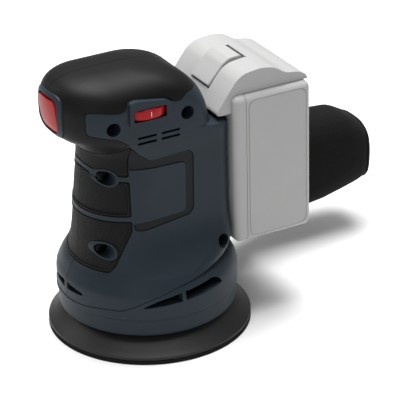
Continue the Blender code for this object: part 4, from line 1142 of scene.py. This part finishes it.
# ---- dust bag
def dustBag():
    shape = {
        # y, centre x, centre z, half width, half height, squareness
        "sections": (
            (76, -43, 35.5, 18.2, 18.2, 1.0), (88, -43, 35.5, 18.6, 18.4, 1.0), (95, -45, 35.5, 19, 18.6, 1.0),
            (103, -48.5, 41, 21.5, 24, 0.85), (113, -51.5, 48.5, 23.2, 29, 0.72),
            (130, -52, 53.5, 23.5, 31.5, 0.66), (152, -52, 55.8, 23.5, 30.5, 0.66),
            (166, -51.8, 57.2, 23.2, 27.8, 0.66), (176.5, -51.5, 56.2, 22.4, 23.2, 0.66),
            (182, -51.5, 54.8, 20.5, 19.2, 0.66), (184, -51.5, 54.2, 17.2, 15.8, 0.66),
        ),
        "around": 64,
        "mouth": 16.5,
        "cloth": {"voxel": 3.6, "heldFrom": 88, "heldTo": 100, "spare": -0.06, "pressure": 4.0, "gravity": 0.15,
                  "frames": 24, "cap": 5.0},
        "seam": {"panel": 177, "thick": 1.8, "proud": 0.3},
    }
    rings = []
    for y, x, z, half, height, power in shape["sections"]:
        ring = []
        for step in range(shape["around"]):
            turn = 2 * math.pi * step / shape["around"]
            c, s = math.cos(turn), math.sin(turn)
            ring.append((
                x - half * math.copysign(abs(c) ** power, c),
                y,
                z + height * math.copysign(abs(s) ** power, s),
            ))
        rings.append(ring)
    bag = grownForm("dustBag", rings)
    inflate(bag, shape["cloth"])
    mouth = shape["mouth"]
    carve(bag, spun("mouthTool", ((0, 60), (mouth, 60), (mouth, 86), (0, 86)), (-43, 35.5), 48, "y"))
    wrapSeams(bag, shape)
    dress(smoothed(bag, 60, False), filterCloth, "bag", "bag_fabric", "dust_bag")


def inflate(bag, cloth):
    # the sewn form is remeshed and filled with air; the neck is held by the collar
    remesh = bag.modifiers.new("remesh", "REMESH")
    remesh.mode = "VOXEL"
    remesh.voxel_size = cloth["voxel"] * mm
    pick(bag)
    bpy.ops.object.modifier_apply(modifier=remesh.name)
    held = bag.vertex_groups.new(name="held")
    for vert in bag.data.vertices:
        y = vert.co.y / mm
        weight = min(1.0, max(0.0, (cloth["heldTo"] - y) / (cloth["heldTo"] - cloth["heldFrom"])))
        if weight:
            held.add([vert.index], weight, "REPLACE")
    before = [vert.co.copy() for vert in bag.data.vertices]
    step = bag.modifiers.new("cloth", "CLOTH")
    settings = step.settings
    settings.quality = 6
    settings.mass = 0.12
    settings.tension_stiffness = settings.compression_stiffness = 12
    settings.shear_stiffness = 6
    settings.bending_stiffness = 0.6
    settings.shrink_min = cloth["spare"]
    settings.use_pressure = True
    settings.uniform_pressure_force = cloth["pressure"]
    settings.vertex_group_mass = "held"
    settings.effector_weights.gravity = cloth["gravity"]
    step.collision_settings.use_collision = False
    scene = bpy.context.scene
    for number in range(1, cloth["frames"] + 1):
        scene.frame_set(number)
    pick(bag)
    bpy.ops.object.modifier_apply(modifier=step.name)
    scene.frame_set(1)
    for vert, start in zip(bag.data.vertices, before):
        move = vert.co - start
        if move.length > cloth["cap"] * mm:
            vert.co = start + move.normalized() * cloth["cap"] * mm
    fine = bag.modifiers.new("fine", "SUBSURF")
    fine.levels = fine.render_levels = 1
    pick(bag)
    bpy.ops.object.modifier_apply(modifier=fine.name)


def wrapSeams(bag, shape):
    # piping round the end panel, laid on the filled cloth
    seam = shape["seam"]
    middle = Vector((-52, 0, 52)) * mm
    path = []
    for step in range(96):
        turn = 2 * math.pi * step / 96
        aside, above = 60 * mm * math.cos(turn), 60 * mm * math.sin(turn)
        point = Vector((middle.x + aside, seam["panel"] * mm, middle.z + above))
        aim = Vector((middle.x - point.x, 0, middle.z - point.z)).normalized()
        hit, spot, normal, _ = bag.ray_cast(point, aim)
        if hit:
            path.append(spot + normal * seam["proud"] * mm)
    line = bpy.data.curves.new("bagPiping", "CURVE")
    line.dimensions = "3D"
    line.bevel_depth = seam["thick"] / 2 * mm
    line.bevel_resolution = 3
    spline = line.splines.new("POLY")
    spline.points.add(len(path) - 1)
    for point, place in zip(spline.points, path):
        point.co = (*place, 1.0)
    spline.use_cyclic_u = True
    tube = bpy.data.objects.new("bagPiping", line)
    bpy.context.scene.collection.objects.link(tube)
    pick(tube)
    bpy.ops.object.convert(target="MESH")
    piping = bpy.context.object
    piping.name = "bagPiping"
    faceOutwards(piping, 0.00001)
    dress(smoothed(piping, 60, False), bindingTape, "bag", "bag_fabric")


dustBag()
for form in forms:
    bpy.data.objects.remove(form, do_unlink=True)
print("dust bag done")


# ---- floor, light and camera
def studio():
    floorSize = 6.0
    bpy.ops.mesh.primitive_plane_add(size=floorSize, location=(0, 0, 0))
    floor = bpy.context.object
    floor.name = "studioFloor"
    paper = bpy.data.materials.new("mattPaperBackdrop")
    paper.use_nodes = True
    shader = paper.node_tree.nodes["Principled BSDF"]
    shader.inputs["Base Color"].default_value = hexColour("#f4f4f4")
    shader.inputs["Roughness"].default_value = 0.9
    floor.data.materials.append(paper)

    world = bpy.data.worlds.new("studioWorld")
    world.use_nodes = True
    world.node_tree.nodes["Background"].inputs["Color"].default_value = (1.0, 1.0, 1.0, 1.0)
    world.node_tree.nodes["Background"].inputs["Strength"].default_value = 0.34
    bpy.context.scene.world = world
    lamps = (
        ("topSoftbox", (-0.15, 0.1, 1.3), 0.9, 30.0),
        ("frontSoftbox", (1.1, -0.9, 0.7), 0.7, 2.4),
        ("sideSoftbox", (-0.9, -0.9, 0.8), 0.6, 3.0),
    )
    for name, spot, size, power in lamps:
        bpy.ops.object.light_add(type="AREA", location=spot)
        lamp = bpy.context.object
        lamp.name = name
        lamp.data.size = size
        lamp.data.energy = power
        aim = Vector((0, 0, 0.08)) - Vector(spot)
        lamp.rotation_euler = aim.to_track_quat("-Z", "Y").to_euler()

    view = {"azimuth": 61.5, "elevation": 26.5, "roll": -1.3, "place": (1.1678, -0.5984, 0.7316), "lens": 218.7}
    bpy.ops.object.camera_add(location=view["place"])
    camera = bpy.context.object
    camera.name = "studioCamera"
    turn = (
        Matrix.Rotation(math.radians(view["azimuth"]), 3, "Z")
        @ Matrix.Rotation(math.radians(90 - view["elevation"]), 3, "X")
        @ Matrix.Rotation(math.radians(view["roll"]), 3, "Z")
    )
    camera.rotation_euler = turn.to_euler()
    camera.data.lens = view["lens"]
    camera.data.sensor_width = 36
    camera.data.clip_start = 0.05
    bpy.context.scene.camera = camera
    bpy.context.scene.view_settings.view_transform = "Standard"


studio()
print("studio ready")
